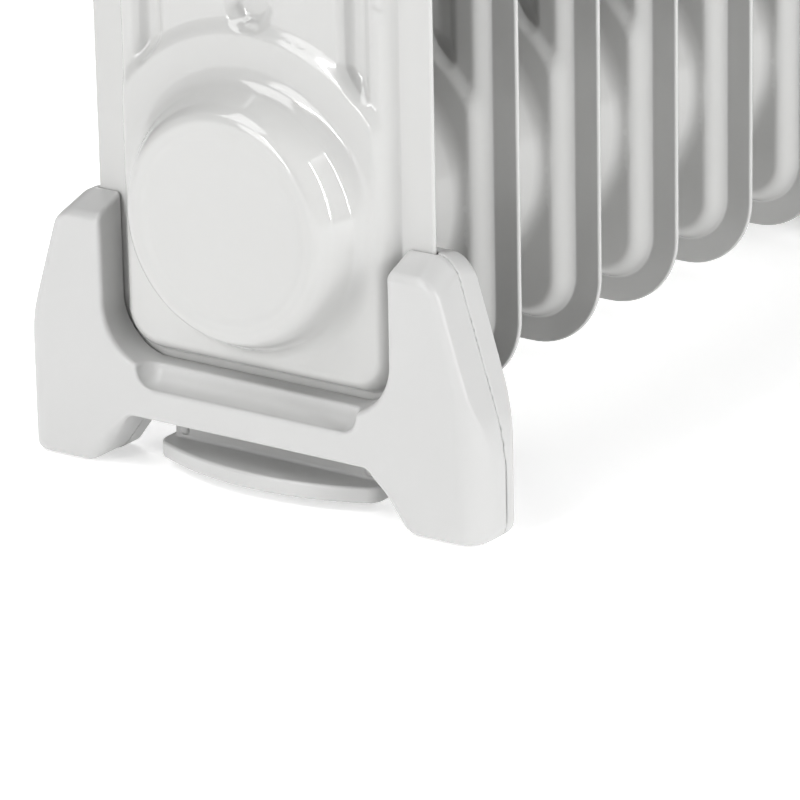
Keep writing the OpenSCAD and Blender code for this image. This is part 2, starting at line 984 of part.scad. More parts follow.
module thermostat_knob() {
    x0 = box_front + 0.4;
    x1 = x_last + knob_reach;
    color(grey_plastic)
        translate([0, 0, knob_z])
            difference() {
                union() {
                    rod_x(x0, x0 + skirt, knob_radius);
                    rod_x(x0 + skirt, x1 - skirt, knob_radius - skirt, knob_radius - skirt - knob_taper);
                    block([x0 + skirt, -pointer_half, skirt + 1 - knob_radius],
                        [x1, pointer_half, knob_radius - skirt - 1]);
                }
                rod_x(x0 - 1, box_front + 10, spindle_radius + run_gap);
                for (a = [0:flute_step:359])
                    rotate([a, 0, 0])
                        translate([0, knob_radius - skirt + 0.8, 0])
                            rod_x(x0 + skirt + 1, x1 + 1, flute_radius);
            }
}

// housing with two windows for the rocker switches
module switch_housing() {
    color(dark_plastic)
        translate([0, 0, rocker_z])
            difference() {
                union() {
                    along_x(box_front, box_front + bezel[0])
                        round_rect([-rocker_y - bezel[1], -bezel[2]], [rocker_y + bezel[1], bezel[2]], 3);
                    along_x(box_front - tub[0], box_front)
                        round_rect([-rocker_y - tub[1], -tub[2]], [rocker_y + tub[1], tub[2]], 1.9);
                }
                for (y = [-rocker_y, rocker_y]) {
                    block([box_front - rocker_window[0], y - rocker_window[1], -rocker_window[2]],
                        [box_front + bezel[0] + 1, y + rocker_window[1], rocker_window[2]]);
                    translate([box_front - rocker_pivot, 0, 0])
                        rod_y(y - rocker_window[1] - 2, y + rocker_window[1] + 2,
                            rocker_pivot_radius + run_gap);
                }
            }
}

// a rocker pressed in at its lower half
module rocker(y) {
    color(dark_plastic)
        translate([box_front - rocker_pivot, y, rocker_z])
            rotate([0, rocker_tilt, 0]) {
                translate([0, rocker_half_width, 0])
                    rotate([90, 0, 0])
                        linear_extrude(2 * rocker_half_width)
                            polygon([[-6, -5], [-6, 5], [3, 11.4], [7, 11.6], [5.4, 0], [7, -11.6],
                                [3, -11.4]]);
                rod_y(-rocker_half_width - 2, rocker_half_width + 2, rocker_pivot_radius);
            }
}

module pilot_lens() {
    color(amber)
        translate([0, 0, lens_z]) {
            rod_x(box_front - 6, box_front, lens_radius);
            rod_x(box_front, box_front + lens_height, lens_rim, lens_rim - 1);
        }
}

module tilt_switch() {
    low = tilt_low + [plate_x + plate_thickness, 0, 0];
    color(dark_plastic)
        block(low, low + tilt_size);
    color(brass)
        translate(low + [tilt_size[0] / 2, tilt_size[1] / 2, tilt_size[2]])
            cylinder(h = tilt_cap, r = tilt_cap_radius);
}

module terminal_block() {
    low = terminal_low + [plate_x + plate_thickness, 0, 0];
    color(white_plastic)
        difference() {
            block(low, low + terminal_size);
            for (z = terminal_holes)
                translate([low[0], low[1] + terminal_size[1] / 2, z])
                    rod_x(4, terminal_size[0] + 1, screw_head_radius);
        }
}

module cord_gland() {
    color(dark_plastic)
        translate([0, 0, gland_z])
            difference() {
                union() {
                    rod_x(box_front - chamfer, box_front, gland_seat);
                    rod_x(box_front, box_front + gland_flange[2], gland_flange[0], gland_flange[1]);
                    rod_x(box_front + gland_flange[2], box_front + gland_sleeve[2], gland_sleeve[0],
                        gland_sleeve[1]);
                }
                rod_x(box_front - chamfer - 1, box_front + gland_sleeve[2] + 1, gland_bore);
            }
}

// two hooks that the supply cord is wound round
module cord_hooks() {
    color(white_plastic)
        for (z = hook_heights) {
            up = z == hook_heights[1] ? 1 : -1;
            base = z - hook_half_height * up;
            tip = z + hook_plate_height * up;
            along_x(box_front, box_front + hook_neck)
                round_rect([-hook_half_width, z - hook_half_height],
                    [hook_half_width, z + hook_half_height], 2.5);
            along_x(box_front + hook_neck, box_front + hook_reach)
                round_rect([-hook_plate_half, min(base, tip)], [hook_plate_half, max(base, tip)], 5);
        }
}

module carry_handle() {
    color(grey_plastic)
        difference() {
            along_x(handle_x - handle_half_depth, handle_x + handle_half_depth)
                difference() {
                    round_rect([-handle_half_width, box_top], [handle_half_width, overall_height],
                        handle_corner);
                    round_rect([-grip_half_width, box_top - 20],
                        [grip_half_width, overall_height - grip_top], grip_corner);
                }
            for (y = [-handle_screw_y, handle_screw_y])
                translate([handle_x, y, box_top - 1])
                    cylinder(h = 12, r = screw_radius + run_gap);
        }
}

module handle_screws() {
    color(steel)
        for (y = [-handle_screw_y, handle_screw_y])
            translate([handle_x, y, 0]) {
                translate([0, 0, box_top - box_wall])
                    cylinder(h = 12, r = screw_radius);
                translate([0, 0, box_top - box_wall - 2])
                    cylinder(h = 2, r = screw_head_radius);
            }
}

fin(0);  // fin_1
fin(1);  // fin_2
fin(2);  // fin_3
fin(3);  // fin_4
fin(4);  // fin_5
fin(5);  // fin_6
fin(6);  // fin_7
fin(7);  // fin_8
fin(8);  // fin_9
header_collars();
filler_plug();
element_flange();
element_gasket();
heating_rods();
thermal_cutout();
foot_outer_shell(false);  // foot_a_outer_shell
foot_inner_shell(false);  // foot_a_inner_shell
foot_screws(false);  // foot_a_screws
foot_hinge_pins(false);  // foot_a_hinge_pins
carrier(false);  // carrier_a
carrier_kingpins(false);  // carrier_a_kingpins
castor_fork(false, 1);  // castor_a_left_fork
castor_axle(false, 1);  // castor_a_left_axle
castor_wheel(false, 1);  // castor_a_left_wheel
castor_fork(false, -1);  // castor_a_right_fork
castor_axle(false, -1);  // castor_a_right_axle
castor_wheel(false, -1);  // castor_a_right_wheel
foot_outer_shell(true);  // foot_b_outer_shell
foot_inner_shell(true);  // foot_b_inner_shell
foot_screws(true);  // foot_b_screws
foot_hinge_pins(true);  // foot_b_hinge_pins
carrier(true);  // carrier_b
carrier_kingpins(true);  // carrier_b_kingpins
castor_fork(true, 1);  // castor_b_left_fork
castor_axle(true, 1);  // castor_b_left_axle
castor_wheel(true, 1);  // castor_b_left_wheel
castor_fork(true, -1);  // castor_b_right_fork
castor_axle(true, -1);  // castor_b_right_axle
castor_wheel(true, -1);  // castor_b_right_wheel
back_plate();
control_cover();
cover_screws();
thermostat_body();
thermostat_shaft();
thermostat_knob();
switch_housing();
rocker(-rocker_y);  // rocker_low
rocker(rocker_y);  // rocker_high
pilot_lens();
tilt_switch();
terminal_block();
cord_gland();
cord_hooks();
carry_handle();
handle_screws();
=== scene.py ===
"""Looks of the oil filled radiator heater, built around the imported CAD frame.

Shapes are worked out in millimetres and scaled to metres as each mesh is made.  Moulded
pieces are smooth distance fields turned into meshes; fins are pressed height fields.
"""

import json
import math

import bpy
import numpy as np
from mathutils import Matrix, Vector, geometry


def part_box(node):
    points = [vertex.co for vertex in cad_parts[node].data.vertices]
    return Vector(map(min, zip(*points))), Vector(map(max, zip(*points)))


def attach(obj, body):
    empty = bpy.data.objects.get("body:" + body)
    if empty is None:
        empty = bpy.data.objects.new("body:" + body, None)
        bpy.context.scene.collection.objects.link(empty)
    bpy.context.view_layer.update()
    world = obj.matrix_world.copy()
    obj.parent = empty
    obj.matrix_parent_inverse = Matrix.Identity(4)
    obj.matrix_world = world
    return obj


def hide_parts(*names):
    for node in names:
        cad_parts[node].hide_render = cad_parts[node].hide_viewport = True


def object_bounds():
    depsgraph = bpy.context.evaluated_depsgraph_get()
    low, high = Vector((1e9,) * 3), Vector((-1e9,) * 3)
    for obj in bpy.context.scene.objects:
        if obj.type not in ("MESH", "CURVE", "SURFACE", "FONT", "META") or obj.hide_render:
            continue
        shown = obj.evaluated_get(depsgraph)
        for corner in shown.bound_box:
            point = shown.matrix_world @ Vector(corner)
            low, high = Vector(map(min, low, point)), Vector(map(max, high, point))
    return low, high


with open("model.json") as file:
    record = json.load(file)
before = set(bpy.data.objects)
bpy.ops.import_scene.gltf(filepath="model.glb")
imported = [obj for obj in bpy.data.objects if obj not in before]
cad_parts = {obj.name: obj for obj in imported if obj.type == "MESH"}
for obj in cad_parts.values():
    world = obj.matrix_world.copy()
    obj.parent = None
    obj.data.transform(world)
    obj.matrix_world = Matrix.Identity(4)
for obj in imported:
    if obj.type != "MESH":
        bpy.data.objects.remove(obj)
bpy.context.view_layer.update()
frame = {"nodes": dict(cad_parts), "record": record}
MM = 0.001
COARSE = 1.0


def span(node):
    """Lowest and highest corner of a CAD node in millimetres."""
    low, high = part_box(node)
    return np.array(low) / MM, np.array(high) / MM


# ---- smooth solids -------------------------------------------------------------------


def ramp(a, b, v):
    """0 before a, 1 after b, with a smooth rise between."""
    t = np.clip((v - a) / (b - a), 0, 1)
    return t * t * (3 - 2 * t)


def meet(a, b, r):
    """What two solids share, its outer edge rounded to radius r."""
    u, v = np.maximum(a + r, 0), np.maximum(b + r, 0)
    return np.minimum(-r, np.maximum(a, b)) + np.sqrt(u * u + v * v)


def join(a, b, r):
    """Two solids together, the inner edge between them filled to radius r."""
    return -meet(-a, -b, r)


def cut(a, b, r):
    """Solid a less solid b, the edge rounded to radius r."""
    return meet(a, -b, r)


def slab(v, low, high):
    """Distance to what lies between two parallel planes."""
    return np.maximum(low - v, v - high)


def oval(u, v, ru, rv):
    """Distance to an ellipse, near enough."""
    k0 = np.sqrt((u / ru) ** 2 + (v / rv) ** 2)
    k1 = np.sqrt((u / ru**2) ** 2 + (v / rv**2) ** 2)
    return k0 * (k0 - 1) / np.maximum(k1, 1e-6)


def rounded(u, v, low, high, r):
    """Distance to a rectangle with corner radius r."""
    cu, cv = (low[0] + high[0]) / 2, (low[1] + high[1]) / 2
    qu = np.abs(u - cu) - (high[0] - low[0]) / 2 + r
    qv = np.abs(v - cv) - (high[1] - low[1]) / 2 + r
    return (np.hypot(np.maximum(qu, 0), np.maximum(qv, 0))
            + np.minimum(np.maximum(qu, qv), 0) - r)


def brick(x, y, z, low, high, r):
    """Distance to a box with every edge rounded."""
    flat = rounded(x, y, low[:2], high[:2], r)
    return meet(flat, slab(z, low[2], high[2]), r)


def hull(u, v, corners, r):
    """Distance to a convex outline, its corners given anticlockwise and rounded to r."""
    out = None
    for (pu, pv), (qu, qv) in zip(corners, corners[1:] + corners[:1]):
        size = math.hypot(qu - pu, qv - pv)
        d = ((u - pu) * (qv - pv) - (v - pv) * (qu - pu)) / size
        out = d if out is None else meet(out, d, r)
    return out


def slope_of(field, v, eps=0.02):
    """Gradient of a field at points v."""
    g = np.empty_like(v)
    for a in range(3):
        d = np.zeros(3)
        d[a] = eps
        g[:, a] = (field(*(v + d).T) - field(*(v - d).T)) / (2 * eps)
    return g


def net(field, low, high, step):
    """Vertices and quads of a field's surface between two corners."""
    low, high = np.array(low, float), np.array(high, float)
    count = np.ceil((high - low) / step).astype(int) + 1
    axes = [low[i] + step * np.arange(count[i]) for i in range(3)]
    values = field(axes[0][:, None, None], axes[1][None, :, None], axes[2][None, None, :])
    values = np.broadcast_to(values, count)
    inside = values < 0
    cells = count - 1
    stride = np.array([cells[1] * cells[2], cells[2], 1])
    total = np.zeros((cells.prod(), 3))
    hits = np.zeros(cells.prod())
    around = []
    for a in range(3):
        b, c = (a + 1) % 3, (a + 2) % 3
        near = tuple(slice(0, -1) if i == a else slice(None) for i in range(3))
        far = tuple(slice(1, None) if i == a else slice(None) for i in range(3))
        at = np.argwhere(inside[near] != inside[far])
        f0 = values[near][tuple(at.T)]
        f1 = values[far][tuple(at.T)]
        point = at.astype(float)
        point[:, a] += f0 / (f0 - f1)
        corners = []
        for db, dc in ((-1, -1), (0, -1), (0, 0), (-1, 0)):
            cell = at.copy()
            cell[:, b] += db
            cell[:, c] += dc
            flat = cell @ stride
            corners.append(flat)
            hits += np.bincount(flat, minlength=len(hits))
            for k in range(3):
                total[:, k] += np.bincount(flat, weights=point[:, k], minlength=len(hits))
        ring = np.stack(corners, 1)
        back = ~inside[near][tuple(at.T)]
        ring[back] = ring[back][:, ::-1]
        around.append(ring)
    used = np.flatnonzero(hits)
    number = np.full(len(hits), -1)
    number[used] = np.arange(len(used))
    points = low + step * total[used] / hits[used][:, None]
    return settle(field, points, step), number[np.concatenate(around)]


def settle(field, points, reach):
    """Moves points onto the field's surface."""
    for _ in range(4):
        g = slope_of(field, points)
        move = g * (field(*points.T) / np.maximum((g * g).sum(1), 1e-4))[:, None]
        size = np.linalg.norm(move, axis=1)
        move *= np.minimum(1, 0.6 * reach / np.maximum(size, 1e-9))[:, None]
        points = points - move
    return points


# ---- meshes and pieces ---------------------------------------------------------------


def mesh_of(name, points, faces, normals=None):
    """A smooth-shaded mesh from millimetre points and faces, with its own normals if given."""
    if isinstance(faces, np.ndarray):
        faces = faces.tolist()
    mesh = bpy.data.meshes.new(name)
    mesh.from_pydata((np.asarray(points) * MM).tolist(), [], faces)
    mesh.update()
    mesh.shade_smooth()
    if normals is not None:
        mesh.normals_split_custom_set_from_vertices(normals.tolist())
    return mesh


def moulded(name, field, low, high, step, keep=1.0):
    """A mesh of a field, thinned where it is flat, with the field's own normals."""
    points, faces = net(field, low, high, step * COARSE)
    mesh = mesh_of(name, points, faces)
    if keep < 1:
        thick = bpy.data.objects.new(name, mesh)
        bpy.context.scene.collection.objects.link(thick)
        thin = thick.modifiers.new("thin", "DECIMATE")
        thin.ratio = keep
        mesh = bpy.data.meshes.new_from_object(
            thick.evaluated_get(bpy.context.evaluated_depsgraph_get()))
        bpy.data.objects.remove(thick)
        at = np.empty(len(mesh.vertices) * 3)
        mesh.vertices.foreach_get("co", at)
        points = settle(field, at.reshape(-1, 3) / MM, 0.3)
        mesh.vertices.foreach_set("co", (points * MM).ravel())
        mesh.update()
        mesh.shade_smooth()
    g = slope_of(field, points)
    g /= np.maximum(np.linalg.norm(g, axis=1), 1e-9)[:, None]
    mesh.normals_split_custom_set_from_vertices(g.tolist())
    return mesh


def lathe(name, profile, turns=96):
    """A shape turned about X from (x, radius) pairs, closed by a radius of 0 at its ends
    or, if it is a ring, by a last pair equal to the first."""
    points, faces, rows = [], [], []
    for x, r in profile:
        if rows and (x, r) == profile[0]:
            rows.append(rows[0])
        elif r == 0:
            rows.append([len(points)] * turns)
            points.append((x, 0, 0))
        else:
            rows.append(list(range(len(points), len(points) + turns)))
            for i in range(turns):
                a = 2 * math.pi * i / turns
                points.append((x, r * math.cos(a), r * math.sin(a)))
    for p, q in zip(rows, rows[1:]):
        for i in range(turns):
            j = (i + 1) % turns
            faces.append(list(dict.fromkeys([p[i], q[i], q[j], p[j]])))
    mesh = mesh_of(name, np.array(points), faces)
    mesh.set_sharp_from_angle(angle=math.radians(40))
    return mesh


def piece(name, mesh, body, material, nodes=(), at=(0, 0, 0), turn=0.0, flip=False):
    """An object of the heater: a mesh with a finish, riding on a body; a flipped one is
    turned half round X before it is turned about Z and put in its place."""
    if not mesh.materials:
        mesh.materials.append(material)
    obj = bpy.data.objects.new(name, mesh)
    bpy.context.scene.collection.objects.link(obj)
    obj.matrix_world = (Matrix.Translation(Vector(at) * MM) @ Matrix.Rotation(turn, 4, "Z")
                        @ Matrix.Rotation(math.pi if flip else 0.0, 4, "X"))
    bpy.context.view_layer.update()
    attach(obj, body)
    if nodes:
        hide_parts(*nodes)
    return obj


# ---- finishes ------------------------------------------------------------------------


def finish_of(name, colour, rough, metallic=0.0, coat=0.0, **detail):
    """A material with slow colour drift, uneven gloss and fine relief in its nodes.

    detail: drift (colour change), patch (mm of the drift), uneven (gloss change),
    grain (mm of the relief), relief (mm deep), wear (how far raised edges are lightened: a painted
    highlight).
    """
    mat = bpy.data.materials.new(name)
    mat.use_nodes = True
    tree = mat.node_tree
    nodes, links = tree.nodes, tree.links
    shader = nodes["Principled BSDF"]
    shader.inputs["Metallic"].default_value = metallic
    shader.inputs["Coat Weight"].default_value = coat
    shader.inputs["Coat Roughness"].default_value = detail.get("coat_rough", 0.08)
    shader.inputs["IOR"].default_value = detail.get("ior", 1.5)
    place = nodes.new("ShaderNodeTexCoord")

    def noise(size_mm, octaves):
        """Object-space noise of a given grain."""
        n = nodes.new("ShaderNodeTexNoise")
        n.inputs["Scale"].default_value = 1000 / size_mm
        n.inputs["Detail"].default_value = octaves
        links.new(place.outputs["Object"], n.inputs["Vector"])
        return n.outputs["Fac"]

    def spread(value, low, high, start=0.3, end=0.7):
        """A value mapped from start..end to low..high."""
        m = nodes.new("ShaderNodeMapRange")
        m.inputs["From Min"].default_value = start
        m.inputs["From Max"].default_value = end
        m.inputs["To Min"].default_value = low
        m.inputs["To Max"].default_value = high
        links.new(value, m.inputs["Value"])
        return m.outputs["Result"]

    drift = detail.get("drift", 0.015)
    slow = noise(detail.get("patch", 60), 3)
    tint = nodes.new("ShaderNodeMix")
    tint.data_type = "RGBA"
    tint.inputs["A"].default_value = (*[c * (1 - drift) for c in colour], 1)
    tint.inputs["B"].default_value = (*[min(1, c * (1 + drift)) for c in colour], 1)
    links.new(spread(slow, 0, 1), tint.inputs["Factor"])
    colour_out = tint.outputs["Result"]
    # Painted highlight: raised edges are lightened according to their pointiness.
    wear = detail.get("wear", 0)
    if wear:
        shape = nodes.new("ShaderNodeNewGeometry")
        edge_sheen_mix = nodes.new("ShaderNodeMix")
        edge_sheen_mix.data_type = "RGBA"
        edge_sheen_mix.inputs["B"].default_value = (*[min(1, c + wear) for c in colour], 1)
        links.new(spread(shape.outputs["Pointiness"], 0, 1, 0.52, 0.6), edge_sheen_mix.inputs["Factor"])
        links.new(colour_out, edge_sheen_mix.inputs["A"])
        colour_out = edge_sheen_mix.outputs["Result"]
    links.new(colour_out, shader.inputs["Base Color"])
    uneven = detail.get("uneven", 0.04)
    links.new(spread(noise(detail.get("smear", 25), 4), rough - uneven, rough + uneven),
              shader.inputs["Roughness"])
    grain = detail.get("grain", 1.2)
    relief = nodes.new("ShaderNodeBump")
    relief.inputs["Strength"].default_value = detail.get("strength", 0.5)
    relief.inputs["Distance"].default_value = detail.get("relief", 0.01) * MM
    links.new(noise(grain, detail.get("grain_octaves", 2)), relief.inputs["Height"])
    links.new(relief.outputs["Normal"], shader.inputs["Normal"])
    if coat:
        links.new(relief.outputs["Normal"], shader.inputs["Coat Normal"])
    return mat


# The wear value in each finish is a painted highlight along raised edges.
ENAMEL = finish_of("enamel", (0.535, 0.535, 0.528), 0.08, drift=0.008, patch=90,
                   uneven=0.02, grain=2.6, relief=0.008, strength=0.5, wear=0.04)
WHITE = finish_of("white_plastic", (0.53, 0.53, 0.526), 0.34, drift=0.008, patch=70,
                  uneven=0.03, grain=0.35, relief=0.006, strength=0.5, wear=0.03)
GREY = finish_of("grey_plastic", (0.17, 0.175, 0.18), 0.42, drift=0.03, uneven=0.05,
                 grain=0.4, relief=0.02, wear=0.06)
DARK = finish_of("dark_plastic", (0.022, 0.022, 0.024), 0.48, drift=0.05, uneven=0.06,
                 grain=0.4, relief=0.02, wear=0.03)
RUBBER = finish_of("castor_tread", (0.035, 0.035, 0.036), 0.6, drift=0.08, uneven=0.08,
                   grain=0.5, relief=0.04, wear=0.04)
STEEL = finish_of("steel", (0.55, 0.56, 0.57), 0.3, metallic=1.0, drift=0.05, patch=8,
                  uneven=0.08, smear=6, grain=0.3, relief=0.006)
BRASS = finish_of("brass", (0.62, 0.45, 0.18), 0.32, metallic=1.0, drift=0.06, patch=10,
                  uneven=0.08, smear=8, grain=0.4, relief=0.006)
LENS = finish_of("lens", (0.75, 0.10, 0.02), 0.12, coat=0.5, drift=0.02, uneven=0.02,
                 grain=1.0, relief=0.004)
FINISH = {"enamel": ENAMEL, "white_plastic": WHITE, "grey_plastic": GREY,
          "dark_plastic": DARK, "steel": STEEL, "brass": BRASS, "lens": LENS}


# ---- fins: two pressed sheets each ---------------------------------------------------

FIN_LOW, FIN_HIGH = span("fin_2")
FIN_HALF_WIDTH = (FIN_HIGH[1] - FIN_LOW[1]) / 2
FIN_TALL = FIN_HIGH[2] - FIN_LOW[2]
BOSS_RISE = (FIN_HIGH[0] - FIN_LOW[0]) / 2
FIN_CORNER = 22.0
SHEET = 1.0
BORDER = {True: 10.0, False: 7.5}
STEEP = 2.2
SLOPE_SOFT = (0.9, 5.0)
PANEL = 5.0
HEADER = 7.0
HEADER_Z = 55.0
HEADER_EDGE = (49.6, 54.6)
VALLEY_FLOOR = 2.0
VALLEYS = ((-33.5, 3.4), (0.0, 6.0), (33.5, 3.4))
VALLEY_END = 52.6
VALLEY_WALL = 2.6
BOSS_FOOT = {True: 38.0, False: 41.2}
BOSS_FACE = 31.5
FOOT_FILLET = {True: 7.0, False: 6.0}
RIM_ROUND = 4.0
FACE_RING, FACE_STEP = 26.0, 0.3
HEADER_END = 64.0
RIM_IN = 0.6
SLOPE_LOOPS = (-6, -4, -2, -0.9, -0.4, 0.1, 0.7, 1.3, 1.9, 2.5, 3.1, 3.8, 4.5, 5.3)
RINGS = (1, 8, 16, 22, 24.2, 25, 25.7, 26.4, 27.2, 28, 28.8, 29.6, 30.4, 31.2, 32, 34, 36, 37.2,
         38.4, 39.4, 40.4, 41.4, 42.3, 43.1, 43.9, 44.5)


def fin_edge(y, z):
    """How far a point lies inside the fin's outline."""
    return -rounded(y, z, (-FIN_HALF_WIDTH, 0), (FIN_HALF_WIDTH, FIN_TALL), FIN_CORNER)


def blend_low(a, b, k):
    """The lower of two heights with a soft bend over a height difference of k."""
    return np.minimum(a, b) - np.maximum(k - np.abs(a - b), 0) ** 2 / (4 * k)


def boss_rise(r, marked):
    """Height of a boss above the seam at a distance from its centre."""
    base, fillet = BOSS_FOOT[marked], FOOT_FILLET[marked]
    fall = (BOSS_RISE - HEADER) / (base - BOSS_FACE)
    lean = math.atan(fall)
    t1, t2 = (rad * math.tan(lean / 2) for rad in (fillet, RIM_ROUND))
    r1, r2 = base + t1, BOSS_FACE - t2
    top = np.full_like(r, BOSS_RISE)
    if marked:
        top = top - FACE_STEP * (1 - ramp(FACE_RING - 1.6, FACE_RING + 1.2, r))
    rim = BOSS_RISE - RIM_ROUND + np.sqrt(np.maximum(RIM_ROUND**2 - (r - r2) ** 2, 0))
    wall = HEADER + fall * (base - r)
    foot = HEADER + fillet - np.sqrt(np.maximum(fillet**2 - (r1 - r) ** 2, 0))
    c = math.cos(lean)
    out = np.where(r < r2, top, np.where(r < BOSS_FACE + t2 * c, rim, wall))
    return np.where(r < base - t1 * c, out, np.where(r < r1, foot, -9.0))


def fin_surface(y, z, marked=False):
    """Outer face of one pressed sheet: its distance from the seam."""
    low = z < FIN_TALL / 2
    r = np.hypot(y, z - np.where(low, HEADER_Z, FIN_TALL - HEADER_Z))
    inward = np.where(low, z - HEADER_Z, FIN_TALL - HEADER_Z - z)
    plate = HEADER - (HEADER - PANEL) * ramp(*HEADER_EDGE, r) * ramp(-5, 22, inward)
    wall = STEEP * (fin_edge(y, z) - BORDER[marked])
    h = SHEET - blend_low(0, -blend_low(plate - SHEET, wall, SLOPE_SOFT[1]), SLOPE_SOFT[0])
    for y0, half in VALLEYS:
        ended = np.maximum(VALLEY_END - r, 20 - inward)
        inside = meet(np.abs(y - y0) - half, ended, half * 0.9)
        h = h - (h - VALLEY_FLOOR) * (1 - ramp(-VALLEY_WALL, VALLEY_WALL, inside))
    boss = boss_rise(r, False)
    if marked:
        boss = np.where(low, boss_rise(r, True), boss)
    return h + np.maximum(boss - HEADER, 0)


def stations(fine):
    """Heights of the points along a fin's side: close together beside its headers."""
    low = np.arange(FIN_CORNER, HEADER_Z + HEADER_END, 2.5 * fine)
    middle = np.arange(low[-1], FIN_TALL - low[-1], 12.0)
    return np.concatenate([low, middle[1:-1], FIN_TALL - low[::-1]])


def outline_loop(inset, fine):
    """Points round the fin's outline, moved in by a distance, anticlockwise."""
    r = max(FIN_CORNER - inset, 0.5)
    w, low, high = FIN_HALF_WIDTH - FIN_CORNER, FIN_CORNER, FIN_TALL - FIN_CORNER
    turns = int(22 / fine)
    across = int(2 * w / (2.5 * fine))
    heights = stations(fine)[1:-1]
    side = FIN_HALF_WIDTH - inset
    points = []
    for cy, cz, start in ((w, low, -90), (w, high, 0), (-w, high, 90), (-w, low, 180)):
        for i in range(turns + 1):
            a = math.radians(start + 90 * i / turns)
            points.append((cy + r * math.cos(a), cz + r * math.sin(a)))
        if start == -90:
            points += [(side, z) for z in heights]
        elif start == 90:
            points += [(-side, z) for z in heights[::-1]]
        else:
            end = FIN_TALL - inset if start == 0 else inset
            sign = 1 if start == 0 else -1
            points += [(sign * (w - 2 * w * k / across), end) for k in range(1, across)]
    return points


def header_grid(surface, tolerance, smallest):
    """Points round a header, packed closely only where the sheet bends."""
    size = 8.0
    keep = set()
    ys = np.arange(-56, 56, size)
    zs = np.arange(0, HEADER_Z + HEADER_END, size)
    corner = np.stack(np.meshgrid(ys, zs, indexing="ij"), -1).reshape(-1, 2)
    middles = ((0.5, 0, (0, 0), (1, 0)), (0.5, 1, (0, 1), (1, 1)),
               (0, 0.5, (0, 0), (0, 1)), (1, 0.5, (1, 0), (1, 1)))
    while len(corner):
        h = {(i, j): surface(corner[:, 0] + i * size, corner[:, 1] + j * size)
             for i in (0, 0.5, 1) for j in (0, 0.5, 1)}
        bend = np.abs(h[0.5, 0.5] - (h[0, 0] + h[1, 0] + h[0, 1] + h[1, 1]) / 4)
        for i, j, p, q in middles:
            bend = np.maximum(bend, np.abs(h[i, j] - (h[p] + h[q]) / 2))
        for i in (0, 1):
            for j in (0, 1):
                keep.update(map(tuple, np.round(corner + (i * size, j * size), 4)))
        corner = corner[(bend > tolerance) & (size > smallest)]
        size /= 2
        corner = np.concatenate([corner + (i * size, j * size)
                                 for i in (0, 1) for j in (0, 1)])
    grid = np.array(sorted(keep))
    away = np.hypot(grid[:, 0], grid[:, 1] - HEADER_Z) > RINGS[-1] + 0.5
    return grid[away & (grid[:, 1] < HEADER_Z + HEADER_END)]


def fin_points(surface, border, fine):
    """Every point of a pressed sheet inside its rim."""
    sets = [np.array(outline_loop(border + d, fine)) for d in SLOPE_LOOPS]
    for flip in (False, True):
        def ended(y, z):
            return surface(y, FIN_TALL - z) if flip else surface(y, z)
        grid = header_grid(ended, 0.035 * fine, 0.8 * fine)
        rings = []
        for r in RINGS:
            n = max(8, int(min(r, 24) * 6 / fine))
            a = 2 * np.pi * (np.arange(n) + 0.5 * (n % 2)) / n
            rings.append(np.stack([r * np.cos(a), HEADER_Z + r * np.sin(a)], 1))
        both = np.concatenate([grid, *rings])
        both = both[fin_edge(both[:, 0], both[:, 1]) > border + SLOPE_LOOPS[-1] + 0.4]
        if flip:
            both[:, 1] = FIN_TALL - both[:, 1]
        sets.append(both)
    columns = []
    for y0, half in VALLEYS:
        for d in np.linspace(-1, 1, 6):
            columns += [y0 - half + d * VALLEY_WALL * 1.05, y0 + half + d * VALLEY_WALL * 1.05]
        columns.append(y0)
    columns += [-23.5, -15, 15, 23.5, -40, 40]
    end = HEADER_Z + HEADER_END
    heights = [z for z in stations(fine) if end <= z <= FIN_TALL - end]
    sets.append(np.array([(y, z) for y in columns for z in heights]))
    return np.concatenate(sets)


def fin_mesh(name, marked, fine):
    """Both pressed sheets and the rounded seam between them, as one closed mesh."""
    edge = outline_loop(RIM_IN, fine)
    count = len(edge)
    points, faces, normals, rims = [], [], [], []
    for side in (-1, 1):
        def surface(y, z):
            return fin_surface(y, z, marked)
        inside = fin_points(surface, BORDER[marked], fine)
        flat = [Vector(p) for p in edge] + [Vector(p) for p in inside]
        ring = [(i, (i + 1) % count) for i in range(count)]
        made = geometry.delaunay_2d_cdt(flat, ring, [], 1, 1e-5)
        at = np.array([(v.x, v.y) for v in made[0]])
        rise = surface(at[:, 0], at[:, 1])
        eps = 0.05
        ny = (surface(at[:, 0] + eps, at[:, 1]) - surface(at[:, 0] - eps, at[:, 1])) / (2 * eps)
        nz = (surface(at[:, 0], at[:, 1] + eps) - surface(at[:, 0], at[:, 1] - eps)) / (2 * eps)
        start = len(points)
        size = np.sqrt(1 + ny**2 + nz**2)
        points += list(np.stack([side * rise, at[:, 0], at[:, 1]], 1))
        normals += list(np.stack([side / size, -ny / size, -nz / size], 1))
        faces += [[start + k for k in (tri if side > 0 else tri[::-1])] for tri in made[2]]
        sources = {old: k for k, olds in enumerate(made[3]) for old in olds}
        rims.append([start + sources[i] for i in range(count)])
    loops = [rims[1]]
    inner = np.array(outline_loop(RIM_IN + 1, fine))
    for a in np.radians((22, 45, 68, 90, 112, 135, 158)):
        loop = np.array(outline_loop(RIM_IN * (1 - math.sin(a)), fine))
        away = loop - inner
        away /= np.linalg.norm(away, axis=1)[:, None]
        loops.append(list(range(len(points), len(points) + count)))
        points += [(SHEET * math.cos(a), *p) for p in loop]
        normals += [(math.cos(a), *(d * math.sin(a))) for d in away]
    loops.append(rims[0])
    for p, q in zip(loops, loops[1:]):
        faces += [[p[i], q[i], q[(i + 1) % count], p[(i + 1) % count]] for i in range(count)]
    return mesh_of(name, np.array(points), faces, np.array(normals))


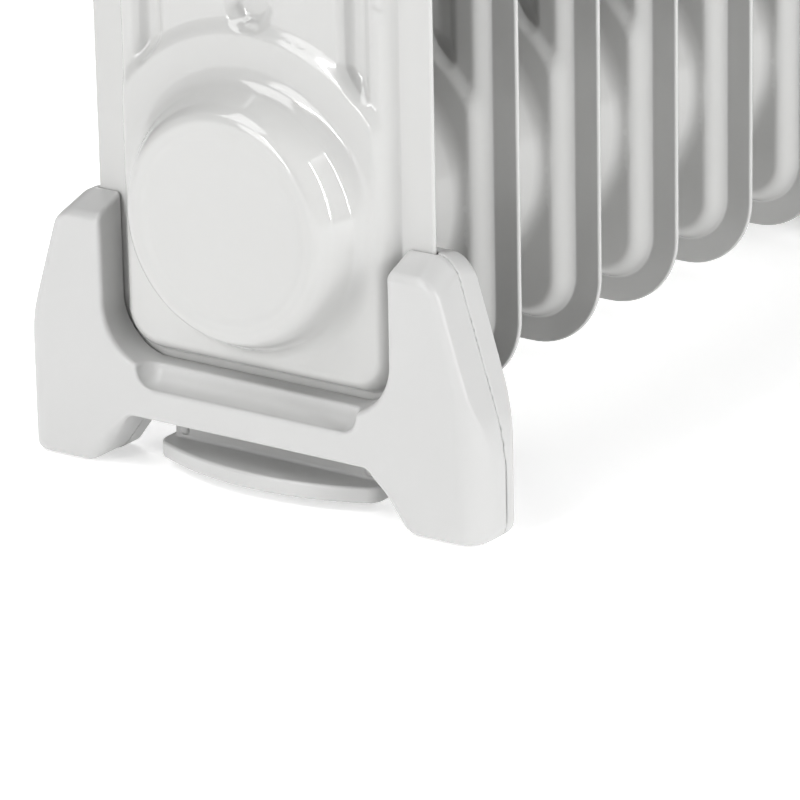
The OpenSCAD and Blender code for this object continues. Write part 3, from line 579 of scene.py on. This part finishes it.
end_fin = fin_mesh("end_fin", True, COARSE)
plain_fin = fin_mesh("plain_fin", False, COARSE)
for i in range(1, 10):
    low, high = span(f"fin_{i}")
    piece(f"pressed_fin_{i}", end_fin if i == 1 else plain_fin, "heater", ENAMEL,
          [f"fin_{i}"], at=((low[0] + high[0]) / 2, 0, low[2]))


# ---- feet: drawn at the bare end with the fin's seam at x = 0, the floor at z = 0 ----

FOOT_LOW, FOOT_HIGH = span("foot_a_outer_shell")
SEAM_A = (span("fin_1")[0][0] + span("fin_1")[1][0]) / 2
SEAM_B = (span("fin_9")[0][0] + span("fin_9")[1][0]) / 2
SIDE = FOOT_HIGH[1]
FACE = SEAM_A - FOOT_LOW[0]
TOP = 76.0
SLOPE_START = 25.6
SLOPE_LEAN = (0.9539, 0.3002)
CROWN = 8.7
WINDOW = 47.1
WINDOW_FLOOR = 30.3
WINDOW_CORNER = 16.5
BAR_BOTTOM = 16.1
LEG_IN = 39.5
LEG_LEAN = (0.8079, 0.5895)
SCOOP = (31.0, 5.3, 5.8)
INNER_CROWN = 8.0
SHOULDER_IN = 3.5
SHOULDER_SOFT = 1.2
FOOT_SCREWS = ((64.5, 20), (61, 54))
SCREW_WELL = 4.1


def foot_window(a, z, x):
    """Distance to the opening that shows the fin; its floor rises towards the fin."""
    level = WINDOW_FLOOR + 0.1 * np.clip(x + FACE, 0, FACE)
    u, v = a - WINDOW + WINDOW_CORNER, level + WINDOW_CORNER - z
    return (np.hypot(np.maximum(u, 0), np.maximum(v, 0))
            + np.minimum(np.maximum(u, v), 0) - WINDOW_CORNER)


def foot_outline(a, z, top):
    """Sloping side, top and bottom of a foot."""
    lean = (a - SIDE) * SLOPE_LEAN[0] + (z - SLOPE_START) * SLOPE_LEAN[1]
    side = meet(a - SIDE, lean, 3.0)
    return meet(meet(side, top, 5.5), -z, 4.0)


def foot_cut(a, z):
    """Distance to the space between the legs, under the crossbar."""
    leg = (a - LEG_IN) * LEG_LEAN[0] + (z - BAR_BOTTOM) * LEG_LEAN[1]
    return meet(z - BAR_BOTTOM, leg, 1.2)


def crown_start(z, crown):
    """How far out a foot's rounded side begins: it follows the sloping side at the top."""
    edge_y = SIDE - (z - SLOPE_START) * SLOPE_LEAN[1] / SLOPE_LEAN[0]
    u, v = SIDE - crown, edge_y - SHOULDER_IN
    return 0.5 * (u + v - np.sqrt((u - v) ** 2 + SHOULDER_SOFT))


def foot_common(solid, a, z, x, edge, window_edge):
    """Takes the window and the space between the legs out of a foot's shell."""
    solid = cut(solid, foot_window(a, z, x), window_edge)
    soft = 0.9 + 2.6 * (1 - ramp(9, 15.5, z)) * edge
    return cut(solid, foot_cut(a, z), soft)


def outer_shell(x, y, z):
    """The half of a foot that faces out, with the scoop in its crossbar."""
    a = np.abs(y)
    start = crown_start(z, CROWN)
    face = np.where(a > start, oval(a - start, x, CROWN, FACE), -x - FACE)
    top = np.maximum(z - TOP, (z - TOP - 0.4 * (x + 2)) / 1.077)
    edge = 0.5 + 1.6 * ramp(68, 72.5, z) + 1.3 * (1 - ramp(1, 7, z))
    solid = meet(face, foot_outline(a, z, top), edge)
    solid = foot_common(solid, a, z, x, 1.0, 1.3)
    reach = np.hypot(np.maximum(a - SCOOP[0], 0), np.maximum(WINDOW_FLOOR - z, 0))
    solid = cut(solid, oval(x + FACE, reach, SCOOP[2], SCOOP[1]), 0.7)
    solid = meet(solid, x + 0.02, 0.4)
    solid = np.maximum(solid, -fin_slot(x, a, z))
    lugs = np.maximum(slab(x, -FACE + 2.2, 5), np.maximum(slab(a, 23.6, 30.4), z - 23.4))
    return np.maximum(solid, -lugs)


def fin_slot(x, a, z):
    """The room a foot leaves for the fin's border and the slope behind it."""
    border = np.maximum(np.abs(x) - 1.1, np.maximum(a - FIN_HALF_WIDTH - 0.3, 23.3 - z))
    slope = np.maximum(np.abs(x) - 1.8, np.maximum(a - FIN_HALF_WIDTH + 7.4, 31.3 - z))
    return np.minimum(border, slope)


def inner_shell(x, y, z):
    """The half of a foot that faces the fins, with its screw wells."""
    a = np.abs(y)
    depth = span("foot_a_inner_shell")[1][0] - SEAM_A
    start = crown_start(z, INNER_CROWN)
    side = oval(a - start, np.maximum(x - 1, 0), INNER_CROWN, depth - 1)
    face = np.where(a > start, side, x - depth)
    top = z - TOP + 0.18 * np.maximum(x - 1, 0)
    edge = 0.7 + 1.4 * ramp(68, 72.5, z) + 1.3 * (1 - ramp(1, 7, z))
    solid = meet(face, foot_outline(a, z, top), edge)
    solid = foot_common(solid, a, z, -x, 0.6, 1.0)
    gap = np.maximum(a - LEG_IN + 1, z - 23.5)
    solid = cut(solid, gap, 0.6)
    solid = meet(solid, 0.02 - x, 0.4)
    for sy, sz in FOOT_SCREWS:
        well = np.maximum(np.hypot(a - sy, z - sz) - SCREW_WELL, depth - 3 - x)
        solid = cut(solid, well, 0.5)
    return np.maximum(solid, -fin_slot(x, a, z))


def both_ends(name, mesh, node, material, body="heater"):
    """The same piece at the bare end and, turned round, at the control end."""
    for end, x, turn in (("a", SEAM_A, 0), ("b", SEAM_B, math.pi)):
        piece(f"{name}_{end}", mesh, body.format(end), material,
              [node.format(end)], at=(x, 0, 0), turn=turn)


both_ends("outer_foot", moulded("outer_foot", outer_shell, (-13, -78, -1), (1.5, 78, 77.5),
                                0.7, 0.45),
          "foot_{}_outer_shell", WHITE)
both_ends("inner_foot", moulded("inner_foot", inner_shell, (-1, -78, -1), (9.5, 78, 77.5),
                                0.8, 0.4),
          "foot_{}_inner_shell", WHITE)


# ---- folding castor carriers -----------------------------------------------------------

LIP = dict(front=-11.2, back=6.0, bow=79.6, half=36.4, low=2.2, high=7.0)
WALL = dict(x=2.0, thick=2.5, half=34.0, top=19.5)
TONGUE = dict(half=30.0, low=9.0, high=13.0)
HINGE = (-6.0, 19.5)
LUG = dict(low=24, high=30, radius=3.4, bore=2.05)
HEAD = dict(y=31, z=9.5, radius=1.7)
ARM = dict(x=19.5, thick=4.0, z=14.0, half=47.5, deep=6, hub=8, bore=3.05)


def lip(x, y, z):
    """The bow-fronted grip, hollow on top."""
    bow = np.hypot(x - LIP["front"] - LIP["bow"], y) - LIP["bow"]
    plan = meet(meet(bow, np.abs(y) - LIP["half"], 2.6), x - LIP["back"], 0.8)
    solid = meet(plan, slab(z, LIP["low"], LIP["high"]), 0.9)
    hollow = np.maximum(plan + 2.3, z - LIP["high"] + 1.6)
    return cut(solid, hollow, 0.3)


def carrier(x, y, z):
    """Lip, wall, hinge lugs, tongue and the arm that holds two castors."""
    a = np.abs(y)
    wall = brick(x, y, z, (WALL["x"], -WALL["half"], LIP["low"] + 1),
                 (WALL["x"] + WALL["thick"], WALL["half"], WALL["top"]), 0.4)
    head = np.sqrt((a - HEAD["y"]) ** 2 + (z - HEAD["z"]) ** 2 + ((x - WALL["x"]) * 2) ** 2)
    head = head - HEAD["radius"]
    hinge = np.hypot(x - HINGE[0], z - HINGE[1])
    lug = np.maximum(hinge - LUG["radius"], slab(a, LUG["low"], LUG["high"]))
    strap = brick(x, a, z, (HINGE[0], LUG["low"], HINGE[1] - LUG["radius"]),
                  (WALL["x"] + WALL["thick"], LUG["high"], HINGE[1] + LUG["radius"]), 0.4)
    tongue = brick(x, y, z, (3, -TONGUE["half"], TONGUE["low"]),
                   (ARM["x"] + 1, TONGUE["half"], TONGUE["high"]), 0.5)
    ribs = np.minimum(np.abs(a - TONGUE["half"] + 1.5), a) - 1.5
    ribs = meet(np.maximum(ribs, slab(x, 3, ARM["x"] + 1)), slab(z, 6, ARM["z"] + 4), 0.5)
    arm = brick(x, y, z, (ARM["x"], -ARM["half"], ARM["z"] - ARM["deep"]),
                (ARM["x"] + ARM["thick"], ARM["half"], ARM["z"] + ARM["deep"]), 0.6)
    pivot = np.hypot(a - ARM["half"], z - ARM["z"])
    hub = meet(pivot - ARM["hub"], slab(x, ARM["x"], ARM["x"] + ARM["thick"]), 0.6)
    solid = join(lip(x, y, z), wall, 0.8)
    solid = join(join(solid, head, 0.2), join(lug, strap, 0.3), 0.6)
    solid = join(join(solid, tongue, 0.6), join(ribs, join(arm, hub, 0.8), 0.8), 0.6)
    return np.maximum(np.maximum(solid, ARM["bore"] - pivot), LUG["bore"] - hinge)


both_ends("castor_carrier", moulded("castor_carrier", carrier, (-12.5, -60.5, 1), (25, 60.5, 24),
                                    0.6, 0.5),
          "carrier_{}", WHITE, "castor_carrier_{}")


# ---- castors: drawn with the swivel at y = 0, z = 0 and the wheel towards -Y ----------------

FORK_PLATE = (23.8, 26.8)
FORK_TRAIL = 16.0
FORK_CHEEK = (6.5, 8.5)
FORK_HUB = 8
PIVOT_BORE, AXLE_BORE = 3.05, 2.55
WHEEL_X = 41.6
WHEEL = dict(radius=14.0, half=6.0, hub=5.4, rim=10.2, dish=1.6)
CHEEK = [(23.8, 0.0), (23.8, -12.0), (37.4, -20.6), (44.2, -21.6), (46.6, -13.6), (30.4, 0.0)]


def fork(x, y, z):
    """A swivelling plate with two cheeks that hold the axle."""
    low, high = FORK_PLATE
    pivot = np.hypot(y, z)
    axle = np.hypot(x - WHEEL_X, y + FORK_TRAIL)
    plate = meet(pivot - FORK_HUB, slab(x, low, high), 0.8)
    strap = meet(meet(slab(y, -14, 0), np.abs(z) - FORK_CHEEK[1], 1.0), slab(x, low, high), 0.8)
    side = join(hull(x, y, CHEEK, 1.5), axle - 6, 1.0)
    cheek = meet(side, slab(np.abs(z), *FORK_CHEEK), 0.6)
    boss = meet(axle - 4.2, np.abs(z) - FORK_CHEEK[1], 0.5)
    boss = np.maximum(boss, FORK_CHEEK[0] - np.abs(z))
    solid = join(join(plate, strap, 0.6), np.minimum(cheek, boss), 0.7)
    return np.maximum(np.maximum(solid, PIVOT_BORE - pivot), AXLE_BORE - axle)


def wheel(x, y, z):
    """A tread on a ribbed hub, turned about Z."""
    r = np.hypot(x, y)
    w = WHEEL
    solid = meet(r - w["radius"], np.abs(z) - w["half"], 1.7)
    ribs = np.full(np.broadcast(x, y, z).shape, 9.0)
    for k in range(3):
        turn = math.pi * k / 3
        ribs = np.minimum(ribs, np.abs(x * math.sin(turn) - y * math.cos(turn)) - 0.8)
    dish = np.maximum(slab(r, w["hub"], w["rim"]), w["half"] - w["dish"] - np.abs(z))
    solid = cut(solid, meet(dish, -ribs, 0.3), 0.3)
    seam = np.hypot(r - w["radius"] + 2.6, np.abs(z) - w["half"]) - 0.35
    tread = np.hypot(r - w["radius"] - 0.15, np.abs(np.abs(z) - 2.0)) - 0.55
    return np.maximum(np.maximum(np.maximum(solid, -seam), -tread), AXLE_BORE - r)


KINGPIN = ((18.0, 0), (18.02, 1.6), (18.2, 3.0), (18.6, 4.2), (19.1, 4.8), (19.5, 4.9),
           (19.5, 3.0), (27.1, 3.0), (27.1, 4.1), (27.5, 4.15), (28.1, 3.5), (28.5, 2.0),
           (28.6, 0))
AXLE = ((-8.5, 0), (-8.5, 1.8), (-8.3, 2.25), (-7.9, 2.5), (7.9, 2.5), (8.3, 2.25), (8.5, 1.8),
        (8.5, 0))

fork_mesh = moulded("castor_fork", fork, (23, -24, -9.5), (49, 9.5, 9.5), 0.45, 0.6)
wheel_mesh = moulded("castor_wheel", wheel, (-15, -15, -7), (15, 15, 7), 0.4, 0.6)
kingpin_mesh = lathe("kingpin", KINGPIN, 64)
axle_mesh = lathe("axle", AXLE, 64)
axle_mesh.transform(Matrix.Rotation(math.pi / 2, 4, "Y"))

for end, seam, turn in (("a", SEAM_A, 0.0), ("b", SEAM_B, math.pi)):
    facing = 1 if end == "a" else -1
    for hand in ("left", "right"):
        name = f"castor_{end}_{hand}"
        low, high = span(name + "_wheel")
        axle_y, axle_z = (low[1] + high[1]) / 2, (low[2] + high[2]) / 2
        out = math.copysign(1, axle_y)
        swivel = (seam, axle_y + out * FORK_TRAIL, axle_z)
        hub = (seam + facing * WHEEL_X, axle_y, axle_z)
        piece(name + "_fork", fork_mesh, name, GREY, [name + "_fork"], swivel,
              turn, flip=out * facing < 0)
        piece(name + "_axle", axle_mesh, name, STEEL, [name + "_axle"], hub)
        piece(name + "_wheel", wheel_mesh, name + "_roller", RUBBER,
              [name + "_wheel"], hub)
        piece(f"kingpin_{end}_{hand}", kingpin_mesh, "castor_carrier_" + end, STEEL,
              [f"carrier_{end}_kingpins"], swivel, turn)


# ---- control box ---------------------------------------------------------------------------

BOX_LOW, BOX_HIGH = span("control_cover")
BOX_STEP = 84.0
BOX_NARROW = 44.0
BOX_CORNER = 14.0
BOX_WALL = 2.5
BOX_EDGE = 3.4
BOX_SEAM = 15.5
LEAN_BACK, LEAN_DROP = 12, 34
CHAMFER = 8
HOLE_DEPTH = 8
KNOB = (span("thermostat_knob")[0] + span("thermostat_knob")[1]) / 2
SWITCH = (span("switch_housing")[0] + span("switch_housing")[1]) / 2
LENS_AT = (span("pilot_lens")[0] + span("pilot_lens")[1]) / 2
GLAND = (span("cord_gland")[0] + span("cord_gland")[1]) / 2
VENT = dict(first=122, pitch=12, count=26, middle=27, half=11, radius=2.0, side=30)
DIAL = dict(radius=30.5, reach=2.3, thin=0.25, grow=1.1, ends=30, dots=35.0, dot=0.8, steps=10)
GROOVE = dict(half=45, low=395, high=591, end=571, corner=9, width=0.5, deep=0.5)
SWITCH_HOLE = (26, 16)
FRONT = BOX_HIGH[0]


def box_shape(x, a, z, inset, edge):
    """The control box: stepped outline, leaning top edge, chamfered lower edge."""
    wide = rounded(a, z, (-BOX_HIGH[1] + inset, BOX_STEP + inset),
                   (BOX_HIGH[1] - inset, BOX_HIGH[2] + CHAMFER - inset), BOX_CORNER - inset)
    slim = rounded(a, z, (-BOX_NARROW + inset, BOX_LOW[2] + inset),
                   (BOX_NARROW - inset, BOX_STEP + 40), BOX_CORNER - inset)
    outline = join(wide, slim, 5.0)
    front = FRONT - inset
    lean = (x - front) * LEAN_DROP + (z - BOX_HIGH[2] + LEAN_DROP) * LEAN_BACK
    lean = lean / math.hypot(LEAN_DROP, LEAN_BACK)
    chamfer = ((x - front) + (BOX_LOW[2] + CHAMFER + inset - z)) / math.sqrt(2)
    face = meet(meet(x - front, lean, 9.0), chamfer, 4.0)
    return meet(meet(outline, face, edge), z - BOX_HIGH[2] + inset, edge)


def vent_rows(x, a, z):
    """Slots with round ends through both sides of the box."""
    row = np.clip(np.round((z - VENT["first"]) / VENT["pitch"]), 0, VENT["count"] - 1)
    along = np.maximum(np.abs(x - BOX_LOW[0] - VENT["middle"]) - VENT["half"], 0)
    slot = np.hypot(along, z - VENT["first"] - row * VENT["pitch"]) - VENT["radius"]
    return np.maximum(slot, VENT["side"] - a)


def dial_scale(y, z):
    """A curved wedge and eleven dots round the knob."""
    reach, apart = DIAL["reach"], 2 * DIAL["reach"] / DIAL["steps"]
    r = np.hypot(y - KNOB[1], z - KNOB[2])
    angle = np.arctan2(-(y - KNOB[1]), z - KNOB[2])
    share = np.clip((angle + reach) / (2 * reach), 0, 1)
    arc = np.maximum(np.abs(r - DIAL["radius"]) - DIAL["thin"] - DIAL["grow"] * share,
                     (np.abs(angle) - reach) * DIAL["ends"])
    mark = np.clip(np.round((angle + reach) / apart), 0, DIAL["steps"]) * apart - reach
    dots = np.hypot(r - DIAL["dots"], (angle - mark) * DIAL["dots"]) - DIAL["dot"]
    return np.minimum(arc, dots)


def cover(x, y, z):
    """The moulded shell of the control box, with its seam, vents, scale and holes."""
    a = np.abs(y)
    skin = box_shape(x, a, z, 0.0, BOX_EDGE)
    solid = np.maximum(skin, -box_shape(x, a, z, BOX_WALL, 1.6))
    solid = meet(solid, BOX_LOW[0] - x, 0.5)
    seam = np.maximum(np.abs(x - FRONT + BOX_SEAM) - 0.45, -skin - 0.7)
    solid = np.maximum(solid, -seam)
    solid = cut(solid, vent_rows(x, a, z), 0.5)
    mark = np.maximum(dial_scale(y, z), FRONT - 0.45 - x)
    solid = cut(solid, mark, 0.15)
    panel = rounded(y, z, (-GROOVE["half"], GROOVE["low"]), (GROOVE["half"], GROOVE["high"]),
                    GROOVE["corner"])
    line = np.maximum(np.abs(panel) - GROOVE["width"], FRONT - GROOVE["deep"] - x)
    solid = cut(solid, np.maximum(line, z - GROOVE["end"]), 0.2)
    holes = np.minimum(np.hypot(y, z - KNOB[2]) - 5, np.hypot(y, z - LENS_AT[2]) - 4.05)
    holes = np.minimum(holes, np.hypot(y, z - GLAND[2]) - 7.05)
    half, rise = SWITCH_HOLE
    holes = np.minimum(holes, rounded(y, z, (-half, SWITCH[2] - rise), (half, SWITCH[2] + rise), 2))
    return np.maximum(solid, -np.maximum(holes, FRONT - HOLE_DEPTH - x))


HANDLE_LOW, HANDLE_HIGH = span("carry_handle")
POST, GRIP = 12, 10
FINGER_GROOVE = dict(pitch=5.0, radius=1.1, drop=9.4, half=34)


def handle(x, y, z):
    """Two posts and a grip, with grooves under the fingers and a moulding seam."""
    low, high = HANDLE_LOW, HANDLE_HIGH
    outer = rounded(y, z, (low[1], low[2] - 14), (high[1], high[2]), 11)
    inner = rounded(y, z, (low[1] + POST, low[2] - 20), (high[1] - POST, high[2] - GRIP), 7)
    solid = cut(outer, inner, 3.4)
    solid = meet(solid, slab(x, low[0], high[0]), 5.0)
    pitch = FINGER_GROOVE["pitch"]
    groove = np.hypot(np.mod(y + pitch / 2, pitch) - pitch / 2,
                      z - high[2] + FINGER_GROOVE["drop"]) - FINGER_GROOVE["radius"]
    solid = np.where(np.abs(y) < FINGER_GROOVE["half"], cut(solid, groove, 0.5), solid)
    middle = (low[0] + high[0]) / 2
    seam = np.maximum(np.abs(x - middle) - 0.3, -solid - 0.35)
    return np.maximum(np.maximum(solid, -seam), low[2] - z)


KNOB_BODY = dict(skirt=25, rim=3, radius=22, draft=2, flutes=18, flute_at=22.8, flute=1.7,
                 bar_half=3.5, bar_reach=20.8)


def knob(x, y, z):
    """A skirted dial with finger flutes and a grip bar."""
    low, high = span("thermostat_knob")
    d = KNOB_BODY
    r = np.hypot(y, z)
    reach = high[0] - low[0]
    skirt = meet(r - d["skirt"], slab(x, 0, d["rim"]), 0.9)
    body = meet(r - d["radius"] + d["draft"] * (x - d["rim"]) / (reach - 6),
                slab(x, 1, reach - 3), 1.2)
    part = 2 * math.pi / d["flutes"]
    angle = np.mod(np.arctan2(z, y) + part / 2, part) - part / 2
    flute = np.hypot(r * np.sin(angle), r * np.cos(angle) - d["flute_at"]) - d["flute"]
    body = cut(body, np.maximum(flute, 3.8 - x), 0.5)
    bar = brick(y, z, x, (-d["bar_half"], -d["bar_reach"], 2),
                (d["bar_half"], d["bar_reach"], reach), 1.5)
    bar = join(bar, body, 1.0)
    pointer = np.maximum(np.maximum(np.abs(y) - 0.55, 9 - z), reach - 0.5 - x)
    tip = np.maximum(np.maximum(np.abs(y) - 0.7, 22.6 - z), 2.6 - x)
    solid = np.minimum(skirt, bar)
    solid = cut(cut(solid, pointer, 0.15), tip, 0.15)
    bore = np.maximum(r - 3.05, x - 9.6)
    return np.maximum(solid, -bore)


BEZEL = (28, 18)
TUB = (25.9, 15.9)
WELL = (6.5, 23.5, 13)


def frame_plate(y, z, half, corner):
    """A rounded rectangle round the middle, from its half width and half height."""
    return rounded(y, z, (-half[0], -half[1]), half, corner)


def housing(x, y, z):
    """A bezel with two rocker wells, its front face at x = 0."""
    bezel = meet(frame_plate(y, z, BEZEL, 3), slab(x, -2, 0), 0.9)
    tub = meet(frame_plate(y, z, TUB, 1.9), slab(x, -22, -1.5), 0.4)
    solid = join(bezel, tub, 0.1)
    a = np.abs(y)
    well = brick(x, a, z, (-19, WELL[0], -WELL[2]), (4, WELL[1], WELL[2]), 0.5)
    pivot = np.maximum(np.hypot(x + 6, z) - 1.55, slab(a, 4.5, 25.5))
    step = np.maximum(rounded(a, z, (5.6, -13.9), (24.4, 13.9), 1.2), -0.7 - x)
    return np.maximum(np.maximum(cut(solid, well, 0.3), -pivot), -step)


ROCKER_TILT = math.radians(8)
ROCKER_PIVOT = 4
ROCKER_HALF = 11.6
BELLY = [(-6, -5), (3, -11.4), (8, -11.6), (8, 11.6), (3, 11.4), (-6, 5)]


def rocker(x, y, z):
    """A rocker about its pivot, before it is tilted."""
    u = np.abs(z)
    front = x - 5.45 - 1.6 * (np.minimum(u, ROCKER_HALF) / ROCKER_HALF) ** 1.7
    end = u - 11.5 + 0.05 * (7 - x)
    belly = hull(x, z, BELLY, 0.4)
    solid = meet(meet(belly, front, 0.5), end, 0.7)
    solid = meet(solid, np.abs(y) - 8.2, 0.5)
    ridge = np.minimum(np.abs(z - 7.4), np.abs(z - 5.0)) - 0.35
    ridge = np.maximum(np.maximum(ridge, np.abs(y) - 4.5), -(front + 0.35))
    solid = cut(solid, ridge, 0.1)
    ring = np.abs(np.hypot(y, z + 6.4) - 2.2) - 0.4
    solid = cut(solid, np.maximum(ring, -(front + 0.35)), 0.1)
    return np.minimum(solid, np.maximum(np.hypot(x, z) - 1.5, np.abs(y) - 10.2))


HOOK_NECK = (16, 3)
HOOK_BASE = (17.5, 4.2)
HOOK_PLATE = dict(half=20, rise=16, thick=3.5)


def hooks(x, y, z):
    """Two hooks, the lower with its flange turned down, the upper with it turned up."""
    out = None
    low, high = span("cord_hooks")
    rise = HOOK_PLATE["rise"]
    for base, way in ((low[2] + rise, -1), (high[2] - rise, 1)):
        up = (z - base) * way
        neck = np.maximum(frame_plate(y, up, HOOK_NECK, 2.5), slab(x, low[0], high[0] - 1))
        plate = meet(rounded(y, up, (-HOOK_PLATE["half"], -HOOK_NECK[1]),
                             (HOOK_PLATE["half"], rise), 5),
                     slab(x, high[0] - HOOK_PLATE["thick"], high[0]), 1.1)
        foot = meet(frame_plate(y, up, HOOK_BASE, 3.4), slab(x, low[0], low[0] + 1), 0.4)
        hook = join(join(neck, plate, 1.6), foot, 1.2)
        out = hook if out is None else np.minimum(out, hook)
    return np.maximum(out, low[0] - x)


LENS_PROFILE = ((-6, 0), (-6, 4.0), (-1.8, 4.0), (-1.8, 5.2), (-1.5, 5.2), (-1.2, 4.9), (-0.8, 4.5),
                (-0.7, 4.1), (-0.42, 3.7), (-0.44, 3.1), (-0.2, 2.7), (-0.22, 2.1), (-0.04, 1.7),
                (-0.02, 0.8), (0, 0))
GLAND_PROFILE = ((-20, 3.7), (-20, 7.0), (-12, 7.0), (-12, 9.9), (-11.6, 9.9), (-9.6, 9.0),
                 (-9, 7.2), (-8.8, 6.5), (-7.4, 6.35), (-7.2, 5.5), (-6.4, 5.5), (-6.2, 6.25),
                 (-4.8, 6.1), (-4.6, 5.3), (-3.8, 5.3), (-3.6, 6.0), (-2.2, 5.85), (-2, 5.1),
                 (-1.2, 5.1), (-1.0, 5.7), (-0.3, 5.6), (0, 5.2), (0, 4.0), (-0.3, 3.7), (-20, 3.7))

piece("control_cover", moulded("control_cover", cover, BOX_LOW - 1.2, BOX_HIGH + 1.2, 1.0, 0.35),
      "heater", WHITE, ["control_cover"])
piece("carry_handle", moulded("carry_handle", handle, HANDLE_LOW - 1, HANDLE_HIGH + 1, 0.6, 0.5),
      "heater", GREY, ["carry_handle"])
piece("thermostat_knob", moulded("thermostat_knob", knob, (-1, -26, -26), (14.5, 26, 26), 0.4, 0.5),
      "knob", GREY, ["thermostat_knob"],
      (span("thermostat_knob")[0][0], KNOB[1], KNOB[2]))
piece("switch_housing", moulded("switch_housing", housing, (-23, -29, -19), (1, 29, 19), 0.5, 0.5),
      "heater", DARK, ["switch_housing"],
      (span("switch_housing")[1][0], SWITCH[1], SWITCH[2]))
rocker_mesh = moulded("rocker", rocker, (-7, -11, -12.5), (8, 11, 12.5), 0.35, 0.6)
rocker_mesh.transform(Matrix.Rotation(ROCKER_TILT, 4, "Y"))
for name in ("rocker_low", "rocker_high"):
    low, high = span(name)
    piece(name, rocker_mesh, name.split("_")[1] + "_power_rocker", DARK, [name],
          (FRONT - ROCKER_PIVOT, (low[1] + high[1]) / 2, SWITCH[2]))
piece("pilot_lens", lathe("pilot_lens", LENS_PROFILE, 72), "heater", LENS,
      ["pilot_lens"], (span("pilot_lens")[1][0], LENS_AT[1], LENS_AT[2]))
piece("cord_gland", lathe("cord_gland", GLAND_PROFILE, 72), "heater", DARK,
      ["cord_gland"], (span("cord_gland")[1][0], GLAND[1], GLAND[2]))
piece("cord_hooks", moulded("cord_hooks", hooks, span("cord_hooks")[0] - 1,
                            span("cord_hooks")[1] + 1, 0.6, 0.4),
      "heater", WHITE, ["cord_hooks"])

for row in frame["record"]["subparts"]:
    node = frame["nodes"][row["node"]]
    if not node.hide_render:
        node.data.materials.clear()
        node.data.materials.append(FINISH[row["material_slot"]])


# ---- camera: fitted to the photograph ------------------------------------------------------

SENSOR, LENS_LENGTH = 36, 256.6
CAMERA_AT = (-1.358607, -0.855526, 0.551646)
YAW, PITCH, ROLL = (math.radians(angle) for angle in (34.824, 20.034, -1.166))

camera = bpy.data.objects.new("camera", bpy.data.cameras.new("camera"))
bpy.context.scene.collection.objects.link(camera)
bpy.context.scene.camera = camera
camera.data.sensor_width = SENSOR
camera.data.lens = LENS_LENGTH
camera.data.clip_start, camera.data.clip_end = 0.1, 50
ahead = Vector((math.cos(YAW) * math.cos(PITCH), math.sin(YAW) * math.cos(PITCH), -math.sin(PITCH)))
up = Vector((math.cos(YAW) * math.sin(PITCH), math.sin(YAW) * math.sin(PITCH), math.cos(PITCH)))
right = ahead.cross(up)
side_axis = math.cos(ROLL) * right + math.sin(ROLL) * up
up_axis = -math.sin(ROLL) * right + math.cos(ROLL) * up
turned = Matrix((side_axis, up_axis, -ahead)).transposed().to_4x4()
camera.matrix_world = Matrix.Translation(CAMERA_AT) @ turned

# ---- studio ----------------------------------------------------------------------------


def softbox(name, azimuth, height, distance, size, watts, aim=(-0.19, 0.0, 0.1)):
    """A flat lamp round the heater: azimuth 0 is at +X, 90 at +Y; it faces its aim."""
    lamp = bpy.data.objects.new(name, bpy.data.lights.new(name, "AREA"))
    bpy.context.scene.collection.objects.link(lamp)
    lamp.data.shape = "RECTANGLE"
    lamp.data.size, lamp.data.size_y = size
    lamp.data.energy = watts
    turn = math.radians(azimuth)
    aim = Vector(aim)
    lamp.location = (aim.x + distance * math.cos(turn), aim.y + distance * math.sin(turn), height)
    lamp.rotation_mode = "QUATERNION"
    lamp.rotation_quaternion = (lamp.location - aim).to_track_quat("Z", "Y")
    return lamp


softbox("front_left", 150, 2.2, 1.4, (1.4, 1.4), 28)
softbox("front_low", 165, 0.8, 2.0, (0.8, 1.2), 15)
softbox("front_strip", 172, 0.75, 2.0, (0.12, 1.3), 9)
softbox("side", 284, 1.1, 2.0, (1.0, 1.8), 31)
softbox("side_strip", 262, 1.0, 2.0, (0.09, 1.8), 18)
softbox("far_fill", 35, 1.5, 2.2, (1.5, 1.5), 28)

world = bpy.data.worlds.new("studio")
bpy.context.scene.world = world
bpy.context.scene.view_settings.view_transform = "Standard"
bpy.context.scene.view_settings.gamma = 0.85
world.use_nodes = True
sky = world.node_tree.nodes["Background"]
sky.inputs["Color"].default_value = (1, 1, 1, 1)
sky.inputs["Strength"].default_value = 0.02

floor_finish = finish_of("floor", (0.9, 0.9, 0.9), 0.6, drift=0.004, patch=900, uneven=0.02,
                         grain=3.0, relief=0.01)
floor_shader = floor_finish.node_tree.nodes["Principled BSDF"]
floor_shader.inputs["Emission Color"].default_value = (1, 1, 1, 1)
floor_shader.inputs["Emission Strength"].default_value = 0.42
FLOOR_HALF = 8
corners = [(x * FLOOR_HALF, y * FLOOR_HALF, 0) for x, y in ((-1, -1), (1, -1), (1, 1), (-1, 1))]
floor_mesh = bpy.data.meshes.new("floor")
floor_mesh.from_pydata(corners, [], [(0, 1, 2, 3)])
floor_mesh.materials.append(floor_finish)
floor = bpy.data.objects.new("floor", floor_mesh)
bpy.context.scene.collection.objects.link(floor)
floor.location.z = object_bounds()[0].z - 0.0005
